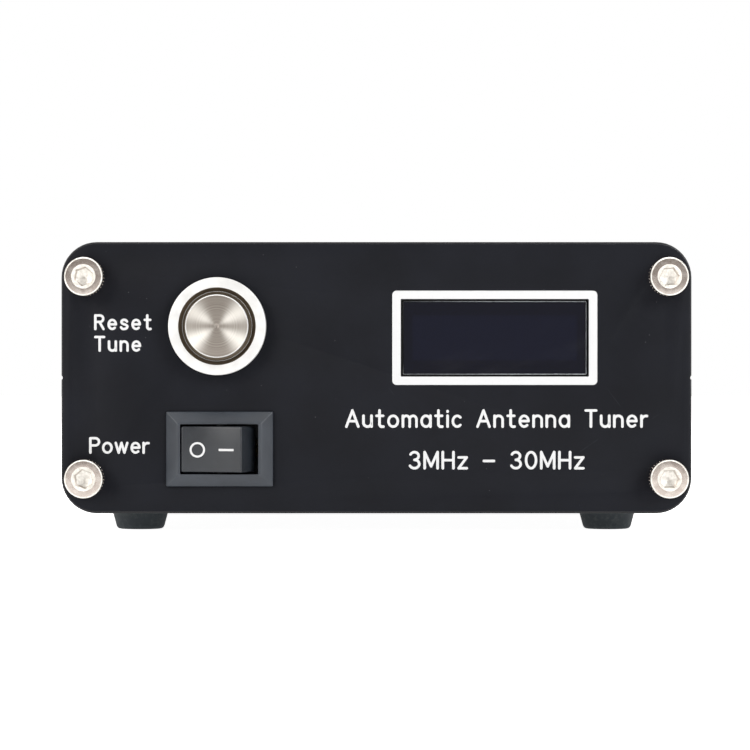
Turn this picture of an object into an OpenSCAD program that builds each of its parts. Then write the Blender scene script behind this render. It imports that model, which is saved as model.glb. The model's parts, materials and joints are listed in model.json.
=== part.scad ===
// Automatic antenna tuner for amateur radio, in a split extruded aluminium case.
// X runs to the right seen from the front, Y towards the rear panel, Z up.
// The origin is the middle of the bottom of the whole object's box.

/* [Case] */
// Width of the extruded case
case_w = 88.7; // [86:0.1:120]
// Height of the extruded case
case_h = 38.2; // [37:0.1:60]
// Length of the extruded case, without the end panels
case_l = 120; // [118:1:180]
// Radius of the four long corners
corner_r = 5; // [4.5:0.5:8]
// Wall of the extrusion
wall = 1.5; // [1.2:0.1:2]
// Wall of the two halves along their joint
joint_wall = 2.6; // [2.4:0.1:3.5]
// Thickness of the outer skin beside the lap
skin = 1.3; // [1:0.1:1.5]
// Height of the lap between the two halves
lap_h = 1.5; // [1:0.1:2.5]

/* [End panels] */
// Thickness of the front and the rear panel
panel_t = 1.6; // [1.2:0.1:3]
// Distance by which a panel stays inside the case's outline
panel_inset = 0.3; // [0.1:0.1:0.6]
// Distance of the corner screws from the case's sides
screw_in_x = 3.45; // [2.85:0.05:3.6]
// Distance of the corner screws from the case's top and bottom
screw_in_z = 4.95; // [4:0.05:5.2]

/* [Corner screws] */
// Diameter of the corner screws' thread
screw_d = 3; // [2.5:0.5:4]
// Diameter of their heads
head_d = 5.4; // [5:0.1:6]
// Height of their heads
head_h = 3; // [2:0.1:3.5]
// Width across flats of their sockets
hex_af = 2.5; // [2:0.5:3]
// Length under the head
screw_l = 9; // [6:1:12]

/* [Feet] */
// Height of a foot with its adhesive pad
foot_h = 2.7; // [2:0.1:6]
// Diameter of a foot at its top
foot_d = 8; // [6:0.5:12]
// Distance between the feet across the case
foot_span = 67.4; // [50:0.1:75]
// Distance of the feet's middle from the case's middle
foot_shift = -0.4; // [-1:0.1:1]
// Distance of the feet from the ends of the case
foot_from_end = 13; // [8:1:25]

/* [Push button] */
// Distance of the button from the case's left side
button_in_x = 22.05; // [15:0.05:25]
// Height of the button above the case's middle
button_up = 7.2; // [6:0.1:9]
// Diameter of the threaded barrel
barrel_d = 12; // [11.8:0.1:13]
// Diameter of the flange
flange_d = 13.7; // [13.6:0.1:16]
// Thickness of the flange
flange_t = 2; // [1.5:0.1:3]
// Diameter of the cap
cap_d = 8.85; // [8:0.05:9.4]
// Height of the cap above the flange
cap_proud = 0.8; // [0.2:0.1:1.5]
// Travel of the button
button_travel = 1.5; // [1:0.1:2]

/* [Rocker switch] */
// Distance of the switch from the case's left side
switch_in_x = 22.35; // [15:0.05:26]
// Depth of the switch below the case's middle
switch_down = 10; // [9:0.1:11]
// Width of the bezel
bezel_w = 15; // [14.6:0.1:17]
// Height of the bezel
bezel_h = 10.5; // [10:0.1:12]
// Thickness of the bezel
bezel_t = 1.9; // [1.5:0.1:2.5]
// Tilt of the rocker each way
rocker_tilt = 13; // [10:1:14]

/* [Display] */
// Distance of the window's middle from the case's right side
window_in_x = 27.75; // [22:0.05:35]
// Height of the window's middle above the case's middle
window_up = 5.6; // [4:0.1:8]
// Width of the window
window_w = 26.2; // [20:0.1:27]
// Height of the window
window_h = 10.7; // [8:0.1:11]
// Width of the display's circuit board
display_w = 38; // [36:0.5:40]
// Height of the display's circuit board
display_h = 12; // [11.8:0.1:14]

/* [Main board] */
// Height of the board's underside above the case's bottom
board_up = 8.2; // [7:0.1:12]
// Thickness of the board
board_t = 1.6; // [1:0.1:2]
// Room between the front panel and the board
board_front_gap = 24; // [22:0.5:30]
// Pitch of the relays
relay_pitch = 11; // [10.4:0.1:12]
// Length of a relay
relay_l = 20; // [15:0.5:20.4]
// Height of a relay
relay_h = 11; // [8:0.5:12]
// Outer diameter of a toroid core
toroid_d = 12.7; // [9.5:0.1:13]
// Width of a toroid core
toroid_w = 4.8; // [3:0.1:5]

/* [Rear sockets] */
// Distance between the two coaxial sockets
socket_span = 49; // [38:0.5:60]
// Side of their square flanges
socket_flange = 25.4; // [25:0.1:26]
// Distance between the flange screws
socket_screw_span = 18.2; // [18:0.1:18.6]
// Diameter of the coupling thread
socket_thread_d = 15.88; // [15.5:0.02:16]
// Length of a socket from the panel to its rim
socket_l = 17; // [14:0.5:20]
// Bore of the centre contact
contact_bore_d = 4; // [3.9:0.05:4.2]
// Bore of the power jack
jack_bore_d = 5.7; // [5.5:0.1:6.5]
// Diameter of the power jack's pin
jack_pin_d = 2.1; // [2:0.1:2.5]

/* [Hidden] */
$fn = 48;

// Clearances
lap_gap = 0.1;
hole_gap = 0.1;
panel_hole_gap = 0.15;
run_gap = 0.05;
slide_gap = 0.08;
seat_gap = 0.03;
touch_gap = 0.05;
glass_gap = 0.2;

// Frame
foot_pad_t = 0.25;
mid_z = foot_h + case_h / 2;
base_z = foot_h;
panel_w = case_w - 2 * panel_inset;
panel_h = case_h - 2 * panel_inset;
screw_x = case_w / 2 - screw_in_x;
screw_z = case_h / 2 - screw_in_z;
shank_r = screw_d / 2 - run_gap;
port_r = 2.85;
joint_line = 0.4;

// Rocker: its face in the switch's own axes, u to the right and v out of the panel
pivot_back = 1.7;
face_half = 4.35;
face_v = 4.73;
face_dip = 0.6;
rocker_depth = 0.5;
side_slope = rocker_tilt;
corner_reach = face_half * sin(rocker_tilt) + face_v * cos(rocker_tilt) - pivot_back;

// Fore and aft places: the whole length is centred on the origin
front_reach = max(corner_reach, head_h, flange_t + cap_proud);
front_y = -(case_l + 2 * panel_t + socket_l + front_reach) / 2 + front_reach;
case_y0 = front_y + panel_t;
case_y1 = case_y0 + case_l;
rear_y = case_y1 + panel_t;

// Front devices
button_x = -case_w / 2 + button_in_x;
button_z = mid_z + button_up;
switch_x = -case_w / 2 + switch_in_x;
switch_z = mid_z - switch_down;
window_x = case_w / 2 - window_in_x;
window_z = mid_z + window_up;

// Push button, depths behind the panel's outer face
barrel_r = barrel_d / 2 - hole_gap;
barrel_end = 11;
cap_r = cap_d / 2;
cone_r = cap_r + 1.02;
lip_r = cap_r + 0.425;
lip_back = -flange_t + 1.3;
bore_r = lip_r + 0.25;
cap_front = -flange_t - cap_proud;
shoulder_back = lip_back + touch_gap + 1.5;
bridge_r = 2.9;
bridge_t = 0.4;
stem_r = 1.2;
base_front = 8;
pad_h = 0.5;
pad_x = 1.8;
bridge_back = base_front - pad_h - button_travel - touch_gap;
button_base_back = 13.5;
button_blade_end = 18.5;
spring_wire_r = 0.3;
spring_r = bore_r - 1;
spring_turns = 6;
washer_t = 0.5;
nut_t = 2;
nut_af = 14;

// Rocker switch, depths behind the panel's outer face
bezel_slope = 1.6;
bezel_edge = 0.5;
opening_w = 2 * (face_half * cos(rocker_tilt) + face_v * sin(rocker_tilt)) + 0.3;
rocker_h = 6.4;
opening_h = rocker_h + 0.6;
switch_body_w = bezel_w - 2;
switch_body_h = bezel_h - 2.1;
switch_wall = 0.6;
switch_depth = 11;
switch_floor = 9.5;
switch_lip_back = 0.3;
trunnion_r = 0.9;
wing_out = 0.6;
wing_l = 3;
plunger_r = 0.85;
plunger_reach = 5.15;
guide_r = 1.5;
guide_bore_r = 1.1;
guide_top = 1.2;
guide_end = -3.2;
spring_end = -1.5;
lever_y = pivot_back + plunger_reach + touch_gap + 0.4;
lever_t = 0.4;
lever_half = 5.2;
lever_w = 2.4;
lever_ratio = -0.7;
lever_pin_r = 0.3;
lever_contact_x = -4.3;
rivet_r = 0.8;
rivet_h = 0.3;
lever_tilt = -lever_ratio * rocker_tilt;
rivet_front = lever_y + (rivet_r - lever_contact_x) * sin(lever_tilt) + rivet_h + touch_gap;
blade_w = 2.8;
blade_t = 0.5;
switch_blade_end = 17;

// Display, depths behind the panel's outer face
glass_front = 0.5;
glass_w = 30;
glass_h = 11.5;
glass_t = 0.7;
tape_t = 0.3;
glass_back = panel_t + tape_t + glass_t;
display_t = 1.2;
display_back = glass_back + display_t;
header_pitch = 2.54;
header_h = 2.5;
pin_w = 0.64;
pin_l = 8;
display_pins = 4;
display_pin_x = -display_w / 2 + 1.5;

// Main board, in its own axes: y from its front edge, z from its top
board_side_gap = 0.3;
board_rear_gap = 4.5;
board_w = case_w - 2 * wall - 2 * board_side_gap;
board_l = case_l - board_front_gap - board_rear_gap;
board_y = case_y0 + board_front_gap;
board_z = base_z + board_up;
board_top = board_z + board_t;
rail_out = 1.5;
rail_t = 1.2;
rail_gap = 0.1;
relay_w = 10;
relay_count = 7;
toroid_count = 4;
row_gap = (board_l - 14 - 2 * relay_l - 5 - 15.5 - 13.5) / 5;
relay_y1 = 14 + row_gap;
disc_y = relay_y1 + relay_l + row_gap + 2.5;
coil_y = disc_y + 2.5 + row_gap + 7.75;
relay_y2 = coil_y + 7.75 + row_gap;
rf_y = relay_y2 + relay_l + row_gap;
coupler_y = rf_y + 6;
coupler_x = 11.5;
header_y = 2.2;
switch_pin_x = -34;
button_pin_x = -26;
display_pin_row_x = -12;

// Windings
wire_r = 0.35;
wire_lift = 0.1;
core_chamfer = 0.5;
toroid_bore_d = toroid_d * 0.61;
toroid_turns = 14;
winding_gap_deg = 36;
coupler_d = 9.5;
coupler_bore_d = 5.2;
coupler_w = 3.2;
coupler_turns = 10;
coupler_wire_r = 0.25;
air_coil_r = 3;
air_coil_wire_r = 0.5;
air_coil_turns = 5;
air_coil_pitch = 1.7;

// Rear sockets, depths outwards from the rear panel's outer face
socket_x = [-socket_span / 2, socket_span / 2];
socket_flange_t = 1.6;
socket_back = -5;
socket_back_r = 7.6;
socket_bore_r = 6.4;
insulator_recess = 1.2;
notch_w = 2;
notch_d = 1.4;
contact_r = 2.9;
contact_tail_r = 2;
contact_depth = 14;
cup_end = -13;
cup_r = 1.2;
cup_depth = 4;
socket_screw_l = 6.5;
socket_head_h = 2;
socket_nut_t = 2.4;
socket_nut_af = 5.5;
jack_thread_r = 4;
jack_flange_r = 5.5;
jack_flange_t = 2;
jack_back = -11;
jack_floor = -9.5;
jack_pin_end = 1;
jack_root_r = 0.85;
jack_nut_af = 10;
jack_nut_t = 2.5;
jack_base_end = -13;
jack_tag_end = -17;
jack_tag_x = 2.2;

// Leads
lead_r = 0.6;
thin_lead_r = 0.45;
rf_lead_r = 0.9;
lead_sides = 8;

// ---- Paths ----

function unit(v) = v / norm(v);
function heading(p, i) = unit(p[min(i + 1, len(p) - 1)] - p[max(i - 1, 0)]);
function square_to(n, t) = unit(n - (n * t) * t);
function first_side(t) = square_to(abs(t[2]) < 0.9 ? [0, 0, 1] : [1, 0, 0], t);

// One side direction for each point of a path, carried along without twist
function sides_along(p) = [
    for (i = 0, n = first_side(heading(p, 0)); i < len(p);
         n = square_to(n, heading(p, min(i + 1, len(p) - 1))), i = i + 1) n
];

// A smooth curve through points, with `steps` stretches between each two
function through(p, steps) = [
    for (i = [0 : len(p) - 2]) for (s = [0 : steps - 1]) spline_point(p, i, s / steps),
    p[len(p) - 1]
];
function spline_point(p, i, t) =
    let (a = p[max(i - 1, 0)], b = p[i], c = p[i + 1], d = p[min(i + 2, len(p) - 1)])
    0.5 * (2 * b + (c - a) * t + (2 * a - 5 * b + 4 * c - d) * t * t
        + (3 * b - a - 3 * c + d) * t * t * t);

// A winding round a core whose axis is X: phi starts at the bottom of the ring
function winding_point(outer, inner, half, lift, cut, k) =
    [[outer + lift, cut - half], [outer + lift, half - cut], [outer - cut, half + lift],
     [inner + cut, half + lift], [inner - lift, half - cut], [inner - lift, cut - half],
     [inner + cut, -half - lift], [outer - cut, -half - lift]][k];
function winding_path(d, bore, w, turns, r, gap) = [
    for (j = [0 : turns * 8])
        let (phi = gap + (360 - 2 * gap) * j / (turns * 8),
             q = winding_point(d / 2, bore / 2, w / 2, r + wire_lift, core_chamfer, j % 8))
        [q[1], q[0] * sin(phi), -q[0] * cos(phi)]
];
function with_tails(p, z) = concat(
    [[p[0][0], p[0][1], z]], p, [[p[len(p) - 1][0], p[len(p) - 1][1], z]]);

// A helix along Y
function helix(r, y0, y1, turns, per_turn) = [
    for (j = [0 : turns * per_turn])
        let (a = 360 * j / per_turn)
        [r * sin(a), y0 + (y1 - y0) * j / (turns * per_turn), -r * cos(a)]
];

// ---- Shared shapes ----

module tube(p, r, sides = lead_sides) {
    n = sides_along(p);
    last = len(p) - 1;
    polyhedron(
        points = [
            for (i = [0 : last]) for (k = [0 : sides - 1])
                let (a = 360 * k / sides)
                p[i] + r * (cos(a) * n[i] + sin(a) * cross(heading(p, i), n[i]))
        ],
        faces = concat(
            [[for (k = [0 : sides - 1]) k]],
            [for (i = [0 : last - 1]) for (k = [0 : sides - 1])
                [i * sides + k, (i + 1) * sides + k, i * sides + (k + 1) % sides]],
            [for (i = [0 : last - 1]) for (k = [0 : sides - 1])
                [(i + 1) * sides + k, (i + 1) * sides + (k + 1) % sides, i * sides + (k + 1) % sides]],
            [[for (k = [sides - 1 : -1 : 0]) last * sides + k]]
        )
    );
}

module rounded(w, h, r) {
    square([w - 2 * r, h], center = true);
    square([w, h - 2 * r], center = true);
    for (x = [-1, 1], z = [-1, 1]) translate([x * (w / 2 - r), z * (h / 2 - r)]) circle(r);
}

// An outline in X and Z, made solid from y0 to y1
module slab_y(y0, y1) {
    translate([0, y1, 0]) rotate([90, 0, 0]) linear_extrude(y1 - y0) children();
}

// An outline in X and Y, made solid over a height centred on Z
module slab_z(h) {
    linear_extrude(h, center = true) children();
}

module rod_y(r, y0, y1) {
    translate([0, y0, 0]) rotate([-90, 0, 0]) cylinder(r = r, h = y1 - y0);
}

module rod_z(r, z0, z1) {
    translate([0, 0, z0]) cylinder(r = r, h = z1 - z0);
}

// A profile of [radius, y] points turned about Y
module turned_y(profile) {
    rotate([-90, 0, 0]) rotate_extrude() polygon(profile);
}

module hex_y(af, y0, y1, turn = 0) {
    translate([0, y0, 0]) rotate([-90, 0, 0]) rotate([0, 0, turn])
        cylinder(d = af / cos(30), h = y1 - y0, $fn = 6);
}

module span(low, high) {
    translate(low) cube(high - low);
}

module at_corners(x, z) {
    for (sx = [-1, 1], sz = [-1, 1]) translate([sx * x, 0, sz * z]) children();
}

module at_button() {
    translate([button_x, front_y, button_z]) children();
}

module at_switch() {
    translate([switch_x, front_y, switch_z]) children();
}

module at_display() {
    translate([window_x, front_y, window_z]) children();
}

module on_board(x, y) {
    translate([x, board_y + y, board_top]) children();
}

// ---- Case ----

// One half of the case; both halves are the same extrusion, one of them turned over
module half_outline() {
    half_w = case_w / 2;
    rail_z = board_up - case_h / 2;
    difference() {
        union() {
            intersection() {
                difference() {
                    rounded(case_w, case_h, corner_r);
                    rounded(case_w - 2 * wall, case_h - 2 * wall, corner_r - wall);
                }
                translate([-half_w, -case_h / 2]) square([case_w, case_h / 2]);
            }
            for (x = [-half_w, half_w - joint_wall])
                translate([x, -3 * lap_h]) square([joint_wall, 3 * lap_h]);
            translate([-half_w + skin + lap_gap, -lap_h])
                square([joint_wall - skin - lap_gap, 2 * lap_h]);
            for (side = [-1, 1]) {
                translate([side * screw_x, -screw_z]) circle(port_r);
                for (z = [rail_z - rail_t, rail_z + board_t + rail_gap])
                    translate([side * (half_w - wall - rail_out / 2 + 0.1), z + rail_t / 2])
                        square([rail_out + 0.2, rail_t], center = true);
            }
        }
        translate([half_w - joint_wall - 1, -lap_h - lap_gap])
            square([joint_wall - skin + 1, lap_h + lap_gap + 1]);
        for (side = [-1, 1]) {
            translate([side * screw_x, -screw_z]) circle(screw_d / 2);
            translate([side * (screw_x - port_r), -screw_z]) square([2 * port_r, 1.6], center = true);
            translate([side * half_w, 0]) rotate(45) square(joint_line, center = true);
        }
    }
}

module lower_case() {
    color("dimgray") translate([0, 0, mid_z]) slab_y(case_y0, case_y1) half_outline();
}

module upper_case() {
    color("dimgray") translate([0, 0, mid_z]) slab_y(case_y0, case_y1) rotate(180) half_outline();
}

module panel_outline() {
    difference() {
        rounded(panel_w, panel_h, corner_r - panel_inset);
        for (x = [-1, 1], z = [-1, 1])
            translate([x * screw_x, z * screw_z]) circle(screw_d / 2 + panel_hole_gap);
    }
}

module front_panel() {
    color("black") translate([0, 0, mid_z]) slab_y(front_y, case_y0) difference() {
        panel_outline();
        translate([button_x, button_up]) circle(barrel_d / 2);
        translate([switch_x, -switch_down])
            square([switch_body_w + 2 * hole_gap, switch_body_h + 2 * hole_gap], center = true);
        translate([window_x, window_up]) square([window_w, window_h], center = true);
    }
}

module rear_panel() {
    color("black") translate([0, 0, mid_z]) slab_y(case_y1, rear_y) difference() {
        panel_outline();
        circle(jack_thread_r + hole_gap);
        for (x = socket_x) translate([x, 0]) {
            circle(socket_back_r + panel_hole_gap);
            for (dx = [-1, 1], dz = [-1, 1])
                translate([dx, dz] * socket_screw_span / 2) circle(screw_d / 2 + panel_hole_gap);
        }
    }
}

// A socket-head screw whose head stands out towards -Y from y = 0
module cap_screw(turn) {
    edge = 0.25;
    socket_depth = 1.4;
    difference() {
        turned_y([
            [0, -head_h], [head_d / 2 - edge, -head_h], [head_d / 2, edge - head_h], [head_d / 2, 0],
            [shank_r, 0], [shank_r, screw_l - edge], [shank_r - edge, screw_l], [0, screw_l]
        ]);
        hex_y(hex_af, -head_h - 1, socket_depth - head_h, turn);
        turned_y([[0, -head_h - 1], [hex_af * 0.68 + 1, -head_h - 1], [0, hex_af * 0.68 - head_h]]);
    }
}

module front_screws() {
    color("silver") translate([0, front_y, mid_z]) {
        translate([-screw_x, 0, screw_z]) cap_screw(80);
        translate([screw_x, 0, screw_z]) cap_screw(5);
        translate([-screw_x, 0, -screw_z]) cap_screw(100);
        translate([screw_x, 0, -screw_z]) cap_screw(0);
    }
}

module rear_screws() {
    color("silver") translate([0, rear_y, mid_z]) {
        at_corners(screw_x, screw_z) mirror([0, 1, 0]) cap_screw(15);
    }
}

module at_feet() {
    for (x = [-foot_span / 2, foot_span / 2], y = [case_y0 + foot_from_end, case_y1 - foot_from_end])
        translate([foot_shift + x, y, 0]) children();
}

module feet() {
    taper = 0.6;
    color("dimgray") at_feet() rotate_extrude() polygon([
        [0, 0], [foot_d / 2 - taper - 0.3, 0], [foot_d / 2 - taper, 0.3],
        [foot_d / 2, foot_h - foot_pad_t], [0, foot_h - foot_pad_t]
    ]);
}

module foot_pads() {
    color("white") at_feet() rod_z(foot_d / 2 - 0.3, foot_h - foot_pad_t, foot_h);
}

// ---- Push button ----

module button_housing() {
    edge = 0.15;
    color("silver") at_button() difference() {
        turned_y([
            [flange_d / 2, 0], [flange_d / 2, edge - flange_t], [flange_d / 2 - edge, -flange_t],
            [cone_r, -flange_t], [lip_r + 0.1, cone_r - lip_r - 0.1 - flange_t],
            [lip_r, cone_r - lip_r - 0.1 - flange_t], [lip_r, lip_back], [bore_r, lip_back],
            [bore_r, barrel_end], [barrel_r, barrel_end], [barrel_r, 0]
        ]);
        seal_groove();
    }
}

module seal_groove() {
    turned_y([[barrel_r + 0.1, -0.6], [barrel_r + 0.75, -0.6], [barrel_r + 0.75, 1], [barrel_r + 0.1, 1]]);
}

module button_seal() {
    seal_r = 0.28;
    color("black") at_button() rotate([-90, 0, 0]) rotate_extrude()
        translate([barrel_r + 0.425, -seal_r - 0.01]) circle(seal_r);
}

module tune_button() {
    edge = 0.2;
    shoulder_r = bore_r - slide_gap;
    shoulder_front = lip_back + touch_gap;
    color("lightgray") at_button() turned_y([
        [0, cap_front], [cap_r - edge, cap_front], [cap_r, cap_front + edge], [cap_r, shoulder_front],
        [shoulder_r, shoulder_front], [shoulder_r, shoulder_back],
        [stem_r, shoulder_back], [stem_r, bridge_back - bridge_t], [0, bridge_back - bridge_t]
    ]);
}

module button_bridge() {
    color("gold") at_button() rod_y(bridge_r, bridge_back - bridge_t, bridge_back);
}

module button_spring() {
    room = spring_wire_r + 0.05;
    color("silver") at_button()
        tube(helix(spring_r, shoulder_back + room, base_front - room, spring_turns, 12), spring_wire_r, 6);
}

module button_base() {
    color("black") at_button() difference() {
        turned_y([
            [0, base_front], [bore_r - seat_gap, base_front], [bore_r - seat_gap, barrel_end],
            [barrel_r - 0.3, barrel_end], [barrel_r - 0.3, button_base_back], [0, button_base_back]
        ]);
        for (x = [-pad_x, pad_x]) button_blade(x, base_front - 1);
    }
}

module button_blade(x, from) {
    span([x - blade_t / 2, from, -0.9], [x + blade_t / 2, button_blade_end, 0.9]);
}

module button_terminals() {
    color("gold") at_button() for (x = [-pad_x, pad_x]) {
        button_blade(x, base_front - 0.1);
        translate([x, 0, 0]) rod_y(0.8, base_front - pad_h, base_front);
    }
}

module button_washer() {
    color("silver") at_button() difference() {
        rod_y(flange_d / 2, panel_t, panel_t + washer_t);
        rod_y(barrel_d / 2, 0, panel_t + washer_t + 1);
    }
}

module button_nut() {
    front = panel_t + washer_t;
    color("silver") at_button() difference() {
        hex_y(nut_af, front, front + nut_t);
        rod_y(barrel_r + run_gap, front - 1, front + nut_t + 1);
    }
}

// ---- Rocker switch ----

module bezel_outline(half) {
    polygon([
        [-half, 0], [-half, -bezel_edge], [bezel_slope - half, -bezel_t],
        [half - bezel_slope, -bezel_t], [half, -bezel_edge], [half, 0]
    ]);
}

module switch_housing() {
    half_w = switch_body_w / 2;
    half_h = switch_body_h / 2;
    hollow_w = half_w - switch_wall;
    color("#3a3d40") at_switch() difference() {
        union() {
            intersection() {
                slab_z(bezel_h) bezel_outline(bezel_w / 2);
                rotate([0, 90, 0]) slab_z(bezel_w) bezel_outline(bezel_h / 2);
            }
            span([-half_w, -0.1, -half_h], [half_w, switch_depth, half_h]);
            for (side = [-1, 1]) slab_z(3) polygon([
                [side * (half_w - 0.1), panel_t + touch_gap],
                [side * (half_w + wing_out), panel_t + touch_gap],
                [side * (half_w - 0.1), panel_t + wing_l]
            ]);
        }
        span([-opening_w / 2, -bezel_t - 1, -opening_h / 2], [opening_w / 2, 1, opening_h / 2]);
        span([-hollow_w, switch_lip_back, -opening_h / 2], [hollow_w, switch_floor, opening_h / 2]);
        translate([0, pivot_back, 0]) rod_z(trunnion_r + run_gap, -half_h - 1, half_h + 1);
        for (x = [0, lever_contact_x]) switch_blade(x, switch_floor - 1);
    }
}

module switch_blade(x, from) {
    span([x - blade_t / 2, from, -blade_w / 2], [x + blade_t / 2, switch_blade_end, blade_w / 2]);
}

// Pieces of the rocker are drawn level, then turned about the pivot to their rest tilt
module at_pivot() {
    at_switch() translate([0, pivot_back, 0]) rotate([0, 0, -rocker_tilt]) children();
}

module rocker() {
    dish_r = (face_half * face_half + face_dip * face_dip) / (2 * face_dip);
    foot_half = face_half + (face_v - rocker_depth) * tan(side_slope);
    color("#33363a") at_pivot() difference() {
        union() {
            slab_z(rocker_h) polygon([
                [-face_half, -face_v], [face_half, -face_v],
                [foot_half, -rocker_depth], [-foot_half, -rocker_depth]
            ]);
            rod_z(trunnion_r, -switch_body_h / 2 + 0.1, switch_body_h / 2 - 0.1);
            rod_y(guide_r, -rocker_depth - 0.5, -guide_end);
        }
        translate([0, face_dip - face_v - dish_r, 0]) rod_z(dish_r, -rocker_h, rocker_h);
        rod_y(guide_bore_r, -guide_top, -guide_end + 1);
    }
}

module rocker_plunger() {
    color("silver") at_pivot() {
        rod_y(plunger_r, -spring_end, plunger_reach - plunger_r);
        translate([0, plunger_reach - plunger_r, 0]) sphere(plunger_r);
    }
}

module plunger_spring() {
    plunger_wire_r = 0.12;
    room = plunger_wire_r + 0.04;
    color("silver") at_pivot()
        tube(helix(0.85, room - guide_top, -spring_end - room, 5, 10), plunger_wire_r, 6);
}

module switch_lever() {
    color("gold") at_switch() translate([0, lever_y, 0]) rotate([0, 0, lever_tilt]) {
        span([-lever_half, -lever_t, -lever_w / 2], [lever_half, 0, lever_w / 2]);
        rod_z(lever_pin_r, -1.8, 1.8);
        translate([lever_contact_x, 0, 0]) rod_y(rivet_r, -0.1, rivet_h);
    }
}

module switch_terminals() {
    ear_in = lever_w / 2 + 0.1;
    ear_out = ear_in + 0.5;
    ear_half = 0.8;
    color("gold") at_switch() {
        difference() {
            union() {
                switch_blade(0, switch_floor - 0.5);
                span([-ear_half, switch_floor - 0.6, -ear_out], [ear_half, switch_floor, ear_out]);
                for (side = [-1, 1])
                    translate([-ear_half, lever_y - 0.8, side * (ear_in + 0.25) - 0.25])
                        cube([2 * ear_half, switch_floor - lever_y + 0.8, 0.5]);
            }
            translate([0, lever_y, 0]) rod_z(lever_pin_r + run_gap, -3, 3);
        }
        switch_blade(lever_contact_x, switch_floor - 0.1);
        translate([lever_contact_x, 0, 0]) rod_y(rivet_r, rivet_front, switch_floor);
    }
}

// ---- Display ----

module display_glass() {
    color("#1b1c28") at_display() {
        slab_y(glass_front, panel_t + tape_t + 0.1)
            square([window_w - 2 * glass_gap, window_h - 2 * glass_gap], center = true);
        slab_y(panel_t + tape_t, glass_back) square([glass_w, glass_h], center = true);
    }
}

module display_tape() {
    color("white") at_display() slab_y(panel_t, panel_t + tape_t) difference() {
        square([glass_w, glass_h], center = true);
        square([window_w + 0.1, window_h + 0.1], center = true);
    }
}

module display_board() {
    color("navy") at_display() slab_y(glass_back, display_back) square([display_w, display_h], center = true);
}

// A strip of square pins; the first pin is at the origin and the row runs along X
module pin_strip(count, height, pins) {
    span([-header_pitch / 2, -header_pitch / 2, 0], [(count - 0.5) * header_pitch, header_pitch / 2, height]);
    for (i = [0 : count - 1])
        translate([i * header_pitch, 0, pins / 2]) cube([pin_w, pin_w, pins], center = true);
}

module display_header() {
    color("black") at_display()
        translate([display_pin_x, display_back, -header_pitch * (display_pins - 1) / 2])
            rotate([0, -90, 0]) rotate([-90, 0, 0]) pin_strip(display_pins, header_h, pin_l);
}

// ---- Main board ----

module main_board() {
    color("darkgreen") span(
        [-board_w / 2, board_y, board_z], [board_w / 2, board_y + board_l, board_top]);
}

module relay_row(y) {
    for (i = [0 : relay_count - 1])
        on_board((i - (relay_count - 1) / 2) * relay_pitch, y)
            span([-relay_w / 2, 0, 0], [relay_w / 2, relay_l, relay_h]);
}

module capacitor_relays() {
    color("white") relay_row(relay_y1);
}

module inductor_relays() {
    color("white") relay_row(relay_y2);
}

// A ring core with chamfered edges, its axis along X
module ring_core(d, bore, w) {
    c = core_chamfer;
    rotate([0, 90, 0]) rotate_extrude() polygon([
        [bore / 2, c - w / 2], [bore / 2 + c, -w / 2], [d / 2 - c, -w / 2], [d / 2, c - w / 2],
        [d / 2, w / 2 - c], [d / 2 - c, w / 2], [bore / 2 + c, w / 2], [bore / 2, w / 2 - c]
    ]);
}

module at_toroids() {
    for (i = [0 : toroid_count - 1])
        on_board((i - (relay_count - 1) / 2) * relay_pitch, coil_y)
            translate([0, 0, toroid_d / 2]) children();
}

module toroid_cores() {
    color("firebrick") at_toroids() ring_core(toroid_d, toroid_bore_d, toroid_w);
}

module toroid_windings() {
    path = with_tails(
        winding_path(toroid_d, toroid_bore_d, toroid_w, toroid_turns, wire_r, winding_gap_deg), -toroid_d / 2);
    color("chocolate") at_toroids() tube(path, wire_r, 6);
}

module air_coils() {
    lift = air_coil_r + air_coil_wire_r + 0.4;
    half = air_coil_turns * air_coil_pitch / 2;
    path = with_tails(helix(-air_coil_r, -half, half, air_coil_turns, 10), -lift);
    color("chocolate") for (i = [toroid_count : relay_count - 1])
        on_board((i - (relay_count - 1) / 2) * relay_pitch, coil_y)
            translate([0, 0, lift]) tube(path, air_coil_wire_r, 6);
}

module at_couplers() {
    for (side = [-1, 1])
        on_board(side * coupler_x, coupler_y)
            translate([0, 0, coupler_w / 2 + 1]) rotate([0, 90, 0]) children();
}

module coupler_cores() {
    color("dimgray") at_couplers() ring_core(coupler_d, coupler_bore_d, coupler_w);
}

module coupler_windings() {
    color("chocolate") at_couplers() tube(
        winding_path(coupler_d, coupler_bore_d, coupler_w, coupler_turns, coupler_wire_r, 30),
        coupler_wire_r, 6);
}

// A dual in-line chip: a moulded body on two rows of legs, its length along X
module dual_in_line(legs, body_w) {
    pitch = 2.54;
    length = legs / 2 * pitch;
    difference() {
        span([-length / 2, -body_w / 2, 0.5], [length / 2, body_w / 2, 4]);
        translate([-length / 2, 0, 3.6]) cylinder(r = 0.8, h = 1);
    }
    for (i = [0 : legs / 2 - 1], side = [-1, 1])
        translate([(i + 0.5) * pitch - length / 2, side * (body_w / 2 + 0.1), 1])
            cube([0.6, 0.4, 2], center = true);
}

module microcontroller() {
    color("black") on_board(14, 8.5) dual_in_line(28, 6.6);
}

module relay_drivers() {
    color("black") for (x = [-31, 31]) on_board(x, rf_y + 6) driver_chip();
}

module driver_chip() {
    span([-5, -2, 0.15], [5, 2, 1.8]);
    for (i = [0 : 7], side = [-1, 1])
        translate([(i - 3.5) * 1.27, side * 2.4, 0.3]) cube([0.45, 1, 0.6], center = true);
}

module voltage_regulator() {
    color("dimgray") on_board(-37, 10.5) {
        span([-3.2, -3, 0], [3.2, 3, 2.3]);
        span([-2.7, 3, 0], [2.7, 4, 0.6]);
        for (x = [-2.3, 2.3]) span([x - 0.4, -5.2, 0], [x + 0.4, -3, 0.6]);
    }
}

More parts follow.
